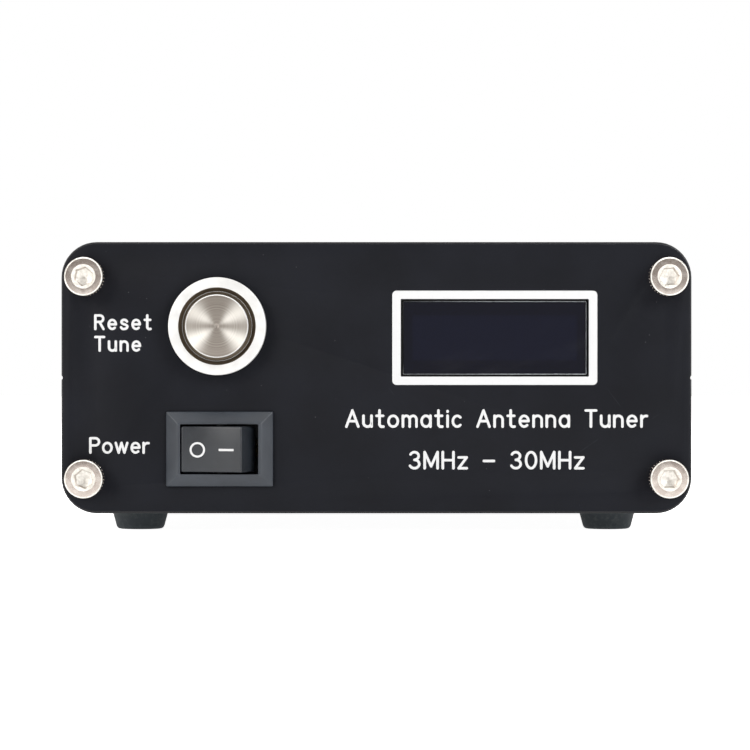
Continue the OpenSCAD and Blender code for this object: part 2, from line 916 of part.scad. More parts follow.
module filter_capacitors() {
    r = 3.15;
    h = 8.5;
    color("silver") for (x = [-28, -20.5, -13]) on_board(x, 9.5) rotate_extrude() polygon([
        [0, 0], [r, 0], [r, 1.2], [r - 0.3, 1.5], [r, 1.8], [r, h - 0.4], [r - 0.4, h], [0, h]
    ]);
}

module tuning_capacitors() {
    r = 3;
    half_t = 1.2;
    color("orange") for (i = [0 : relay_count - 1])
        on_board((i - (relay_count - 1) / 2) * relay_pitch, disc_y) {
            translate([0, 0, r + 1.5]) turned_y([
                [0, -half_t], [r - 1, -half_t], [r, -0.4], [r, 0.4], [r - 1, half_t], [0, half_t]
            ]);
            for (x = [-2, 2]) rod_at(x, 0.3, 0, 3.2);
        }
}

module rod_at(x, r, z0, z1) {
    translate([x, 0, 0]) rod_z(r, z0, z1);
}

module board_headers() {
    color("black") {
        on_board(switch_pin_x, header_y) pin_strip(2, header_h, pin_l);
        on_board(button_pin_x, header_y) pin_strip(2, header_h, pin_l);
        on_board(display_pin_row_x, header_y) pin_strip(display_pins, header_h, pin_l);
    }
}

// ---- Leads ----

// A lead leaves its start along way_out, and reaches its end from the side that way_in points to
function lead_path(start, way_out, middle, end, way_in) =
    concat([start], through(concat([start + way_out], middle, [end + way_in]), 4), [end]);

function pin_tip(x, i) = [x + i * header_pitch, board_y + header_y, board_top + pin_l];

module display_leads() {
    start_y = front_y + display_back + pin_l;
    color("firebrick") for (i = [0 : display_pins - 1]) {
        start = [window_x + display_pin_x, start_y, window_z + (i - (display_pins - 1) / 2) * header_pitch];
        end = pin_tip(display_pin_row_x, i);
        tube(lead_path(start, [0, 1, 0], [start + [0, 3, -0.5], end + [0, -1.5, 4 + 1.2 * i]], end, [0, 0, 1]),
            thin_lead_r);
    }
}

module button_leads() {
    color("white") for (i = [0, 1]) {
        start = [button_x + (2 * i - 1) * pad_x, front_y + button_blade_end, button_z];
        end = pin_tip(button_pin_x, i);
        tube(lead_path(start, [0, 1, 0], [start + [0, 3, -1], end + [0, 1, 6]], end, [0, 0, 1]), thin_lead_r);
    }
}

// From the switch to the board, and from the power jack over the relays to the switch
module switch_leads() {
    y_end = front_y + switch_blade_end;
    over = board_top + relay_h;
    hot = [switch_x + lever_contact_x, y_end, switch_z];
    feed = [switch_x, y_end, switch_z];
    pin = pin_tip(switch_pin_x, 1);
    jack = [-jack_tag_x, rear_y + jack_tag_end, mid_z];
    color("red") {
        tube(lead_path(hot, [0, 1, 0], [hot + [-0.5, 2, 1], pin + [1, -2.5, -4], pin + [1, -1.5, 1.5]],
            pin, [0, 0, 1]), thin_lead_r);
        tube(lead_path(feed, [0, 1, 0], [
            feed + [0.5, 2.5, 1], feed + [2, 5, 6], feed + [3, 12, 15],
            [feed[0] + 2, board_y + relay_y1, over + 4], [-18, board_y + coil_y, over + 6],
            [-8, board_y + relay_y2, over + 4], jack + [0, -4.2, 5], jack + [0, -2, 1.2]
        ], jack, [0, -1, 0]), lead_r);
    }
}

module power_leads() {
    jack = [jack_tag_x, rear_y + jack_tag_end, mid_z];
    pad = [3, board_y + rf_y + 1.2, board_top];
    color("black") tube(lead_path(jack, [0, -1, 0], [jack + [0.3, -1.8, -2], pad + [0, 0, 4]],
        pad, [0, 0, 1]), lead_r);
}

module rf_lead(x) {
    cup = [x, rear_y + cup_end + cup_depth, mid_z];
    mouth = [x, rear_y + cup_end, mid_z];
    pad = [x, board_y + rf_y + 2.5, board_top];
    color("ivory") tube(lead_path(cup, [0, -1, 0],
        [mouth, mouth + [0, -0.8, 0], mouth + [0, -2.2, -2], pad + [0, 0, 3]], pad, [0, 0, 1]), rf_lead_r);
}

module antenna_lead() {
    rf_lead(socket_x[0]);
}

module radio_lead() {
    rf_lead(socket_x[1]);
}

// ---- Rear sockets ----

module at_socket(x) {
    translate([x, rear_y, mid_z]) children();
}

module socket_shell(x) {
    color("silver") at_socket(x) difference() {
        union() {
            slab_y(0, socket_flange_t) rounded(socket_flange, socket_flange, 2);
            rod_y(socket_thread_d / 2, 0, socket_l);
            rod_y(socket_back_r, socket_back, 0.5);
        }
        rod_y(socket_bore_r, socket_back - 1, socket_l + 1);
        at_corners(socket_screw_span / 2, socket_screw_span / 2)
            rod_y(screw_d / 2 + panel_hole_gap, -1, socket_flange_t + 1);
        for (turn = [45, 135]) rotate([0, turn, 0])
            span([-socket_thread_d, socket_l - notch_d, -notch_w / 2],
                [socket_thread_d, socket_l + 1, notch_w / 2]);
    }
}

module antenna_socket() {
    socket_shell(socket_x[0]);
}

module radio_socket() {
    socket_shell(socket_x[1]);
}

module socket_insulator(x) {
    front = socket_l - insulator_recess;
    color("ivory") at_socket(x) turned_y([
        [contact_r, front], [socket_bore_r - seat_gap, front], [socket_bore_r - seat_gap, socket_back],
        [contact_tail_r, socket_back], [contact_tail_r, 0], [contact_r, 0]
    ]);
}

module antenna_insulator() {
    socket_insulator(socket_x[0]);
}

module radio_insulator() {
    socket_insulator(socket_x[1]);
}

module socket_contact(x) {
    front = socket_l - insulator_recess;
    color("gold") at_socket(x) turned_y([
        [0, front - contact_depth], [contact_bore_d / 2, front - contact_depth],
        [contact_bore_d / 2, front], [contact_r - seat_gap, front],
        [contact_r - seat_gap, seat_gap], [contact_tail_r - seat_gap, seat_gap],
        [contact_tail_r - seat_gap, cup_end],
        [cup_r, cup_end], [cup_r, cup_end + cup_depth], [0, cup_end + cup_depth]
    ]);
}

module antenna_contact() {
    socket_contact(socket_x[0]);
}

module radio_contact() {
    socket_contact(socket_x[1]);
}

module at_socket_screws() {
    for (x = socket_x) at_socket(x) at_corners(socket_screw_span / 2, socket_screw_span / 2) children();
}

module socket_screws() {
    front = socket_flange_t + socket_head_h;
    end = socket_flange_t - socket_screw_l;
    color("silver") at_socket_screws() difference() {
        turned_y([
            [0, front], [head_d / 2 - 0.9, front], [head_d / 2, front - 0.9],
            [head_d / 2, socket_flange_t], [shank_r, socket_flange_t], [shank_r, end], [0, end]
        ]);
        for (turn = [0, 90]) rotate([0, turn, 0]) span([-1.5, front - 1, -0.35], [1.5, front + 1, 0.35]);
    }
}

module socket_nuts() {
    color("silver") at_socket_screws() difference() {
        hex_y(socket_nut_af, -panel_t - socket_nut_t, -panel_t);
        rod_y(screw_d / 2, -panel_t - socket_nut_t - 1, 0);
    }
}

module at_jack() {
    translate([0, rear_y, mid_z]) children();
}

module jack_body() {
    color("silver") at_jack() difference() {
        turned_y([
            [0, jack_back], [jack_thread_r, jack_back], [jack_thread_r, 0], [jack_flange_r, 0],
            [jack_flange_r, jack_flange_t - 0.4], [jack_flange_r - 0.4, jack_flange_t], [0, jack_flange_t]
        ]);
        rod_y(jack_bore_d / 2, jack_back - 1, jack_flange_t + 1);
    }
}

module jack_base() {
    color("black") at_jack() difference() {
        union() {
            rod_y(jack_bore_d / 2 - seat_gap, jack_back, jack_floor);
            rod_y(jack_thread_r, jack_base_end, jack_back);
        }
        rod_y(jack_root_r, jack_base_end - 1, jack_floor + 1);
        jack_tags();
    }
}

module jack_tags() {
    for (x = [-jack_tag_x, jack_tag_x])
        span([x - 0.25, jack_tag_end, -1], [x + 0.25, jack_back - 0.6, 1]);
}

module jack_pin() {
    color("gold") at_jack() {
        rod_y(jack_root_r, jack_base_end, jack_floor + 0.1);
        rod_y(jack_pin_d / 2, jack_floor, jack_pin_end - 0.4);
        translate([0, jack_pin_end - 0.4, 0]) rotate([-90, 0, 0])
            cylinder(r1 = jack_pin_d / 2, r2 = jack_pin_d / 2 - 0.4, h = 0.4);
        jack_tags();
    }
}

module jack_nut() {
    color("silver") at_jack() difference() {
        hex_y(jack_nut_af, -panel_t - jack_nut_t, -panel_t, 30);
        rod_y(jack_thread_r + run_gap, -panel_t - jack_nut_t - 1, 0);
    }
}

upper_case();
lower_case();
front_panel();
rear_panel();
front_screws();
rear_screws();
feet();
foot_pads();
button_housing();
tune_button();
button_spring();
button_seal();
button_washer();
button_nut();
button_base();
button_terminals();
button_bridge();
switch_housing();
rocker();
rocker_plunger();
plunger_spring();
switch_lever();
switch_terminals();
display_glass();
display_tape();
display_board();
display_header();
display_leads();
main_board();
capacitor_relays();
inductor_relays();
toroid_cores();
toroid_windings();
air_coils();
coupler_cores();
coupler_windings();
microcontroller();
relay_drivers();
voltage_regulator();
filter_capacitors();
tuning_capacitors();
board_headers();
button_leads();
switch_leads();
power_leads();
antenna_lead();
radio_lead();
antenna_socket();
radio_socket();
antenna_insulator();
radio_insulator();
antenna_contact();
radio_contact();
socket_screws();
socket_nuts();
jack_body();
jack_pin();
jack_base();
jack_nut();
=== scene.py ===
import json
import math

import bpy
from bpy.props import FloatProperty, FloatVectorProperty, IntProperty, PointerProperty
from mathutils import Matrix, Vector

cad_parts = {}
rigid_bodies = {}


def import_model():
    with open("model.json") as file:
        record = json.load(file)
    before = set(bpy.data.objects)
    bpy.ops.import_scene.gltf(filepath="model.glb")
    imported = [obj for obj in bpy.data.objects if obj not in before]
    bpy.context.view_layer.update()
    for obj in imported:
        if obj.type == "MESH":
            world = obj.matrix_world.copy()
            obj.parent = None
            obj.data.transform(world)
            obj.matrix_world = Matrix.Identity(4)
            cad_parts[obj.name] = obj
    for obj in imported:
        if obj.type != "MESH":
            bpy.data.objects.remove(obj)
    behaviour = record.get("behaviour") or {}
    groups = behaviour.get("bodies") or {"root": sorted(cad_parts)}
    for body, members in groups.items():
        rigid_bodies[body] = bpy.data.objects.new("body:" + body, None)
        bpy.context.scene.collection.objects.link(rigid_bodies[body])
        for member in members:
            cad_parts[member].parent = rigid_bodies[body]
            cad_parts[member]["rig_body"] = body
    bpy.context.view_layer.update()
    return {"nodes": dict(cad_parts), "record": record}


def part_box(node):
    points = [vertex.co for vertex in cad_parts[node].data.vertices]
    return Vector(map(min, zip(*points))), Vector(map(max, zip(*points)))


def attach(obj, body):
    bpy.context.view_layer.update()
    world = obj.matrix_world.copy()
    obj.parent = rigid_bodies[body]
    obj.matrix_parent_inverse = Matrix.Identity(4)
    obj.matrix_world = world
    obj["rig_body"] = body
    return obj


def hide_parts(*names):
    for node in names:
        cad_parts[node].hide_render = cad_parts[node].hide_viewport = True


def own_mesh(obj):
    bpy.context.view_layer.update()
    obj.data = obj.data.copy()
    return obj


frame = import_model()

bl_info = {
    "name": "Antenna tuner looks",
    "version": (1, 0, 0),
    "blender": (4, 5, 0),
    "location": "3D View > Sidebar > Tuner",
    "description": "Builds the visible pieces of a small automatic antenna tuner round its CAD frame",
    "category": "Object",
}

MM = 0.001
MERGE = 2e-6
SMOOTH_ANGLE = math.radians(30)
SLOTS = {part["node"]: part["material_slot"] for part in frame["record"]["subparts"]}


def box_mm(node):
    """The lowest and highest corners of a CAD node, in millimetres."""
    low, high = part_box(node)
    return low / MM, high / MM


def on_panel(node, y):
    """The middle of a CAD node's box, moved to the panel's face at y, in millimetres."""
    low, high = box_mm(node)
    return Vector(((low.x + high.x) / 2, y, (low.z + high.z) / 2))


PANEL_LOW, PANEL_HIGH = box_mm("front_panel")
FRONT_Y = PANEL_LOW.y
REAR_Y = box_mm("rear_panel")[1].y
MID_Z = (PANEL_LOW.z + PANEL_HIGH.z) / 2
BUTTON = on_panel("button_housing", FRONT_Y)
SWITCH = on_panel("switch_housing", FRONT_Y)
WINDOW = on_panel("display_glass", FRONT_Y)
JACK = on_panel("jack_body", REAR_Y)
SOCKETS = {side: Vector((on_panel(side + "_socket", REAR_Y).x, REAR_Y, MID_Z))
           for side in ("antenna", "radio")}

# Socket-head screws
HEAD_R = 2.7
HEAD_H = 3.0
SHANK_R = 1.45
SCREW_L = 9.0
HEX_AF = 2.5
RIM = 0.2
KNURL = 0.978
THREAD_DEPTH = 0.22
THREAD_PITCH = 0.5
SOCKET_MOUTH = 1.7
SOCKET_DEPTH = 2.2
FRONT_HEX_TURNS = (80, 5, 100, 0)
REAR_HEX_TURN = 15

# Push button, radii and depths behind the panel's face
FLANGE_R = 6.85
FLANGE_T = 2.0
CONE_R = 5.445
LIP_R = 4.85
BORE_R = 5.1
BARREL_R = 5.9
BARREL_END = 11.0
CAP_R = 4.425
CAP_FRONT = -2.8
CAP_EDGE = 0.13

# Rocker switch
BEZEL_W = 15.0
BEZEL_H = 10.5
BEZEL_T = 1.9
BEZEL_EDGE = 0.5
BEZEL_SLOPE = 1.6
BEZEL_BACK = 0.4
OPENING_W = 10.905
OPENING_H = 7.0
PIVOT_BACK = 1.7
ROCKER_TILT = math.radians(13)
FACE_HALF = 4.35
FACE_V = 4.73
FACE_DIP = 0.6
FOOT_HALF = 5.3266
FOOT_V = 0.5
ROCKER_H = 6.4
RING_U = -2.12
BAR_U = 2.05
MARK_Z = -0.08

# Feet
FOOT_R = 4.0

# Display window
WINDOW_W = 26.2
WINDOW_H = 10.7
GLASS_GAP = 0.2
GLASS_FRONT = 0.5
GLASS_BACK = 2.6
PLATE_FRONT = 1.9
PLATE_W = 30.0
PLATE_H = 11.5

# Coaxial sockets, lengths outwards from the rear panel
SOCKET_FLANGE = 25.4
SOCKET_FLANGE_T = 1.6
SOCKET_THREAD_R = 7.94
SOCKET_L = 17.0
SOCKET_BORE_R = 6.4
SOCKET_BACK = -5.0
SOCKET_BACK_R = 7.6
SCREW_SPAN = 18.2
SCREW_PLACES = [(x, z) for x in (-SCREW_SPAN / 2, SCREW_SPAN / 2)
                for z in (-SCREW_SPAN / 2, SCREW_SPAN / 2)]
INSULATOR_FACE = 15.8
CONTACT_R = 2.87
CONTACT_BORE_R = 2.0
CONTACT_DEPTH = 14.0
CUP_END = -13.0


# ---- Sizes and colours that a user would change ----


def length_property(name, description, value, low, high, precision=5):
    """A length in metres as a property."""
    return FloatProperty(name=name, description=description, default=value, min=low, max=high,
                         unit="LENGTH", precision=precision)


def colour_property(name, description, value):
    """A colour as a property."""
    return FloatVectorProperty(name=name, description=description, subtype="COLOR", default=value,
                               min=0.0, max=1.0)


class TunerSizes(bpy.types.PropertyGroup):
    """Sizes of the fine detail, in metres."""

    edge: length_property(
        "Panel edge", "Rounding of the panels' and case's edges", 0.00012, 0.00002, 0.0004)
    stroke: length_property("Legend stroke", "Width of the legends' lines", 0.00036, 0.0001, 0.001)
    ink: length_property("Ink height", "Height of the ink above the panel", 0.00002, 0.000005, 0.0001)
    thread_pitch: length_property(
        "Coupling pitch", "Pitch of the coaxial sockets' thread", 0.001058, 0.0005, 0.002, 6)
    knurls: IntProperty(
        name="Knurls", description="Grooves round a screw head", default=36, min=12, max=60)


class TunerColours(bpy.types.PropertyGroup):
    """Linear colours of the main finishes."""

    panel: colour_property("Panel", "Laminate of the two end panels", (0.0044, 0.0050, 0.0076))
    case: colour_property("Case", "Anodised extrusion", (0.0056, 0.0062, 0.0078))
    legend: colour_property("Legend", "Printed legends and window frame", (0.50, 0.505, 0.51))
    metal: colour_property("Nickel", "Plated metal", (0.60, 0.59, 0.575))
    plastic: colour_property("Switch", "Moulded plastic of the switch", (0.0205, 0.0255, 0.0335))
    glass: colour_property("Glass", "Display behind its glass", (0.0018, 0.0024, 0.0075))
    rubber: colour_property("Feet", "Moulded feet", (0.0200, 0.0285, 0.0350))
    copper: colour_property("Wire", "Enamelled wire", (0.62, 0.24, 0.09))
    board: colour_property("Board", "Solder mask of the main board", (0.012, 0.085, 0.035))


class TunerSettings(bpy.types.PropertyGroup):
    """All settings of the tuner's looks."""

    sizes: PointerProperty(type=TunerSizes)
    colours: PointerProperty(type=TunerColours)


def sizes():
    return bpy.context.scene.tuner.sizes


def colours():
    return bpy.context.scene.tuner.colours


# ---- Shader maths ----


def combining(operation, swapped=False):
    """A method of Value that adds a Math node for the operation."""
    def combine(self, other):
        return self.finish.math(operation, *((other, self) if swapped else (self, other)))

    return combine


class Value:
    """A shader socket; sums on it add Math nodes."""

    def __init__(self, finish, socket):
        self.finish = finish
        self.socket = socket

    __add__ = __radd__ = combining("ADD")
    __sub__ = combining("SUBTRACT")
    __rsub__ = combining("SUBTRACT", swapped=True)
    __mul__ = __rmul__ = combining("MULTIPLY")
    __truediv__ = combining("DIVIDE")
    __pow__ = combining("POWER")

    def __abs__(self):
        return self.finish.math("ABSOLUTE", self)

    def clamped(self):
        return self.finish.math("MINIMUM", self.finish.math("MAXIMUM", self, 0.0), 1.0)

    def step(self, low, high):
        """0 at low, 1 at high, smooth between."""
        return self.finish.node(
            "ShaderNodeMapRange", {"interpolation_type": "SMOOTHSTEP"},
            {"Value": self, "From Min": low, "From Max": high})


class Finish:
    """The nodes of a procedural material or of the world."""

    def __init__(self, block):
        self.block = block
        block.use_nodes = True
        self.tree = block.node_tree
        self.tree.nodes.clear()

    def node(self, kind, settings=None, sockets=None, output=0):
        """Adds a node: its settings first, then the values or links of its sockets."""
        node = self.tree.nodes.new(kind)
        for key, value in (settings or {}).items():
            setattr(node, key, value)
        for key, value in (sockets or {}).items():
            if isinstance(value, Value):
                self.tree.links.new(value.socket, node.inputs[key])
            else:
                node.inputs[key].default_value = value
        return Value(self, node.outputs[output]) if output is not None else node

    def math(self, operation, *values):
        return self.node("ShaderNodeMath", {"operation": operation}, dict(enumerate(values)))

    def mm(self, centre=(0, 0, 0), turn=(0, 0, 0), stretch=(1, 1, 1)):
        """Object coordinates in millimetres about a centre, turned and stretched."""
        coordinates = self.node("ShaderNodeTexCoord", output="Object")
        moved = self.node(
            "ShaderNodeMapping", {"vector_type": "POINT"},
            {"Vector": coordinates, "Scale": (1 / MM,) * 3, "Location": tuple(-c for c in centre)})
        if turn == (0, 0, 0) and stretch == (1, 1, 1):
            return moved
        turned_by = tuple(math.radians(a) for a in turn)
        moved = self.node("ShaderNodeMapping", {}, {"Vector": moved, "Rotation": turned_by})
        return self.node("ShaderNodeMapping", {}, {"Vector": moved, "Scale": stretch})

    def noise(self, scale, detail=3.0, rough=0.5, where=None):
        return self.node(
            "ShaderNodeTexNoise", {},
            {"Vector": where or self.mm(), "Scale": scale, "Detail": detail, "Roughness": rough})

    def cells(self, scale, where=None):
        return self.node(
            "ShaderNodeTexVoronoi", {"feature": "F1"},
            {"Vector": where or self.mm(), "Scale": scale}, "Distance")

    def parts_of(self, vector):
        """The three parts of a vector as values."""
        split = self.node("ShaderNodeSeparateXYZ", {}, {"Vector": vector}, None)
        return [Value(self, split.outputs[i]) for i in range(3)]

    def turned_rings(self, scale, detail=2.0, rough=0.5, least=0.0):
        """Fine rings about the button's axis, with x, z and the distance from the axis."""
        x, _, z = self.parts_of(self.mm(centre=BUTTON))
        radius = self.math("SQRT", x * x + z * z)
        if least:
            radius = radius + least
        rings = self.node("ShaderNodeTexNoise", {"noise_dimensions": "1D"},
                          {"W": radius, "Scale": scale, "Detail": detail, "Roughness": rough})
        return rings, x, z, radius

    def mix(self, factor, first, second):
        """A colour between two colours."""
        node = self.node("ShaderNodeMix", {"data_type": "RGBA"}, {}, None)
        for index, value in ((0, factor), (6, first), (7, second)):
            if isinstance(value, Value):
                self.tree.links.new(value.socket, node.inputs[index])
            else:
                node.inputs[index].default_value = value if index == 0 else rgba(value)
        return Value(self, node.outputs[2])

    def tones(self, factor, colour, low, high):
        """A colour between two shades of one colour."""
        return self.mix(factor, shade(colour, low), shade(colour, high))

    def surface(self, base, rough, bump=None, more=None):
        """Ends a material with its shader; bump is a height of 0 to 1, its depth in mm, its strength."""
        sockets = {"Base Color": base, "Roughness": rough, **(more or {})}
        if bump:
            height, depth, strength = bump
            sockets["Normal"] = self.node(
                "ShaderNodeBump", {},
                {"Height": height, "Distance": depth * MM, "Strength": strength})
        shader = self.node("ShaderNodeBsdfPrincipled", {}, sockets)
        self.node("ShaderNodeOutputMaterial", {}, {"Surface": shader}, None)


def rgba(colour):
    return (*tuple(colour)[:3], 1.0)


def shade(colour, by):
    """A colour times a number, at most 1."""
    return tuple(min(1.0, c * by) for c in tuple(colour)[:3])


def scratches(finish, turn, density):
    """Thin straight marks along one direction, 0 to 1."""
    along = finish.mm(turn=turn, stretch=(0.035, 0.8, 1.4))
    patches = finish.noise(0.11).step(0.5, 0.62)
    return finish.noise(3.1, 1.0, 0.4, along).step(density, density + 0.03) * patches


# ---- Finishes ----


METAL = {"Metallic": 1.0}


def anodised_case(f):
    drawn = f.noise(2.4, 4.0, 0.6, f.mm(stretch=(1, 0.03, 1)))
    grain = f.noise(11.0, 2.0)
    dust = f.cells(0.9).step(0.05, 0.012)
    base = f.tones(drawn.step(0.35, 0.7) * 0.6 + grain * 0.2, colours().case, 0.8, 1.9)
    base = f.mix(dust * 0.35, base, (0.22, 0.23, 0.22))
    f.surface(base, drawn * 0.14 + grain * 0.1 + 0.36, (drawn * 0.7 + grain * 0.3, 0.012, 0.5),
              {"Metallic": 0.25, "Specular IOR Level": 0.5})


def panel_laminate(f):
    weave = f.cells(1.7)
    grain = f.noise(16.0, 2.0, 0.6)
    cloud = f.noise(0.09, 3.0)
    marks = scratches(f, (0, 35, 0), 0.755) + scratches(f, (0, -52, 0), 0.765)
    specks = f.cells(0.42).step(0.030, 0.012) + f.cells(1.1).step(0.028, 0.010) * 0.6
    base = f.tones(cloud.step(0.3, 0.7), colours().panel, 0.82, 1.18)
    base = f.mix(marks.clamped() * 0.14, base, (0.09, 0.10, 0.11))
    base = f.mix(specks.clamped() * 0.35, base, (0.20, 0.21, 0.21))
    f.surface(base, cloud * 0.12 + grain * 0.08 + marks * 0.1 + 0.40,
              (grain * 0.6 + weave * 0.4 - marks * 0.5, 0.006, 0.45), {"Specular IOR Level": 0.12})


def steel_screw(f):
    stain = f.noise(1.1, 4.0, 0.6)
    cut_marks = f.noise(7.0, 3.0, 0.6)
    base = f.mix(stain.step(0.35, 0.7), (0.42, 0.365, 0.33), (0.56, 0.51, 0.47))
    f.surface(base, stain * 0.1 + cut_marks * 0.06 + 0.12, (cut_marks, 0.006, 0.3), METAL)


def highlit_satin_steel(f):
    """The chamfers and the socket of a screw, in a lighter steel whose bright base colour is a painted
    highlight.
    """
    stain = f.noise(2.6, 4.0, 0.6)
    # Painted highlight: a base colour brighter than the screw steel's, so that rims and sockets read
    # bright.
    base = f.mix(stain.step(0.3, 0.7), (0.62, 0.60, 0.55), (0.86, 0.84, 0.79))
    f.surface(base, stain * 0.15 + 0.28, (stain, 0.01, 0.4), {"Metallic": 0.4})


def turned_steel(f):
    """The cap's face: turned rings as a lathe leaves them, and four bright rays of painted highlight in
    the base colour.
    """
    rings, x, z, radius = f.turned_rings(5.5, 3.0, 0.7, least=0.001)
    tilt = math.radians(32)
    # Painted highlight: two bright lobes 32 degrees either side of level, standing in for the turned
    # face's reflections.
    painted_ray_1 = abs(x * math.cos(tilt) + z * math.sin(tilt)) / radius
    painted_ray_2 = abs(x * math.cos(tilt) - z * math.sin(tilt)) / radius
    painted_highlight_rays = (painted_ray_1 ** 15.0 + painted_ray_2 ** 15.0 * 0.85) * radius.step(0.0, 2.2)
    # The tone mixes the real turned rings with the painted highlight rays.
    tone = (painted_highlight_rays * 0.9 + rings * 0.3 - 0.07).clamped()
    base = f.mix(tone, (0.185, 0.160, 0.137), (0.92, 0.89, 0.83))
    f.surface(base, 0.42 - tone * 0.1, (rings, 0.008, 0.2), METAL)


def bright_nickel(f):
    cloud = f.noise(0.7, 4.0, 0.6)
    fine = f.noise(14.0, 2.0)
    base = f.tones(cloud.step(0.3, 0.75), colours().metal, 0.93, 1.12)
    f.surface(base, cloud * 0.1 + fine * 0.06 + 0.16, (fine, 0.004, 0.3), METAL)


def flange_nickel(f):
    """Satin plating that spreads the light, so that the flange reads as white metal."""
    cloud = f.noise(0.5, 3.0)
    fine = f.noise(18.0, 2.0, 0.6)
    base = f.mix(cloud.step(0.3, 0.7), (0.55, 0.55, 0.54), (0.63, 0.63, 0.62))
    f.surface(base, fine * 0.1 + cloud * 0.08 + 0.32, (fine, 0.004, 0.3), {"Metallic": 0.35})


def cone_nickel_painted_dark(f):
    """The fine-turned cone inside the flange, with nickel painted dark brown as painted shade and
    reflection.
    """
    rings = f.turned_rings(9.0)[0]
    cloud = f.noise(0.8)
    # Painted shade: a dark brown base colour for nickel, standing in for the darkness reflected in the
    # recess.
    base = f.mix(rings * 0.6 + cloud * 0.3, (0.080, 0.062, 0.043), (0.23, 0.19, 0.145))
    f.surface(base, rings * 0.15 + 0.28, (rings, 0.008, 0.3), {"Metallic": 0.9})


def moulded(f, colour, gloss, grain_depth=0.012, grain=9.0):
    """Moulded plastic with a fine spark-eroded grain."""
    texture = f.cells(grain)
    cloud = f.noise(0.35, 3.0)
    dust = f.cells(1.3).step(0.035, 0.010)
    base = f.tones(cloud.step(0.3, 0.7), colour, 0.88, 1.15)
    base = f.mix(dust * 0.3, base, (0.35, 0.36, 0.36))
    f.surface(base, cloud * 0.12 + texture * 0.1 + gloss, (texture, grain_depth, 0.35))


def white_ink(f):
    wear = f.noise(5.0, 4.0, 0.65)
    base = f.tones(wear.step(0.28, 0.42), colours().legend, 0.86, 1)
    f.surface(base, wear * 0.2 + 0.42, (wear, 0.006, 0.4))


def display_glass(f):
    """Near-black display under polished glass, with a faint wiped smear."""
    x, _, z = f.parts_of(f.mm(centre=WINDOW))
    active = (11.6 - abs(x)).step(0.0, 0.12) * (3.2 - abs(z)).step(0.0, 0.12)
    smear = f.noise(0.35, 3.0, 0.5, f.mm(turn=(0, 24, 0), stretch=(0.3, 1, 1)))
    base = f.tones(active, colours().glass, 0.8, 1.25)
    f.surface(base, smear.step(0.4, 0.8) * 0.08 + 0.03,
              more={"Coat Weight": 0.15, "Specular IOR Level": 0.3})


def ground_edge_painted_glint(f):
    """The ground edge of the glass, with painted highlights towards the right and top and along the
    bottom.
    """
    chips = f.noise(6.0, 3.0, 0.7)
    x, _, z = f.parts_of(f.mm(centre=WINDOW))
    # Painted highlight: the edge's base colour is lit more towards the right and top, and along the
    # bottom.
    lit = (x + z * 0.6).step(-14.0, 6.0) * 0.6 + (5.0 - z).step(8.5, 10.5) * 0.4
    base = f.mix(chips.step(0.3, 0.5) * lit, (0.020, 0.022, 0.026), (0.80, 0.86, 0.90))
    f.surface(base, chips * 0.3 + 0.35, (chips, 0.03, 0.6))


def foot_rubber(f):
    grain = f.cells(6.5)
    dust = f.noise(1.6, 4.0, 0.7)
    base = f.mix(dust.step(0.45, 0.75) * 0.6, colours().rubber, (0.075, 0.082, 0.085))
    f.surface(base, dust * 0.2 + 0.55, (grain, 0.02, 0.5))


def solder_mask(f, colour):
    """A circuit board: solder mask over fine tracks and a grid of plated holes."""
    x, y, _ = f.parts_of(f.mm())
    tracks = f.node("ShaderNodeTexWave", {"wave_type": "BANDS", "bands_direction": "DIAGONAL"},
                    {"Vector": f.mm(), "Scale": 0.22, "Distortion": 5.0, "Detail": 2.0}, "Fac")
    tracks = tracks.step(0.62, 0.68)
    hole_x, hole_y = f.math("PINGPONG", x, 1.27), f.math("PINGPONG", y, 1.27)
    plated = 1 - f.math("SQRT", hole_x * hole_x + hole_y * hole_y).step(0.36, 0.42)
    plated = plated * f.noise(0.16).step(0.58, 0.62)
    base = f.tones(tracks * 0.6, colour, 1, 2.1)
    base = f.mix(plated, base, (0.70, 0.68, 0.62))
    f.surface(base, 0.34 - plated * 0.08, (tracks, 0.02, 0.4), {"Metallic": plated * 0.8})


def enamelled_wire(f):
    tint = f.noise(0.9, 3.0)
    base = f.tones(tint.step(0.3, 0.7), colours().copper, 0.75, 1.2)
    f.surface(base, tint * 0.12 + 0.2, (f.noise(7.0), 0.008, 0.3), {"Metallic": 0.85})


def brass_contact(f):
    tarnish = f.noise(1.3, 4.0, 0.6)
    base = f.mix(tarnish.step(0.35, 0.75), (0.86, 0.66, 0.30), (0.62, 0.43, 0.17))
    f.surface(base, tarnish * 0.2 + 0.18, (f.noise(12.0), 0.005, 0.3), METAL)


def sintered(f, colour, rough=0.6):
    """Pressed powder or lacquer with small pits."""
    pits = f.cells(4.0).step(0.12, 0.05)
    tint = f.noise(1.4, 3.0)
    f.surface(f.tones(tint, colour, 0.8, 1.25), tint * 0.2 + rough, (1 - pits, 0.03, 0.4))


def drawn_can(f):
    drawn = f.noise(3.0, 3.0, 0.6, f.mm(stretch=(1, 1, 0.05)))
    base = f.mix(drawn, (0.55, 0.56, 0.58), (0.85, 0.86, 0.88))
    f.surface(base, drawn * 0.2 + 0.2, (drawn, 0.01, 0.4), METAL)


def insulated(f, colour):
    """Extruded lead insulation, slightly dusty."""
    dust = f.noise(1.8, 3.0, 0.6)
    f.surface(f.tones(dust.step(0.4, 0.8), colour, 1, 0.7), dust * 0.2 + 0.34, (dust, 0.02, 0.3))


def fluoropolymer(f):
    cloud = f.noise(0.6, 3.0)
    turned_marks = f.noise(8.0, 2.0)
    base = f.mix(cloud, (0.78, 0.77, 0.72), (0.90, 0.89, 0.85))
    f.surface(base, turned_marks * 0.15 + 0.33, (turned_marks, 0.01, 0.3),
              {"Subsurface Weight": 0.15})


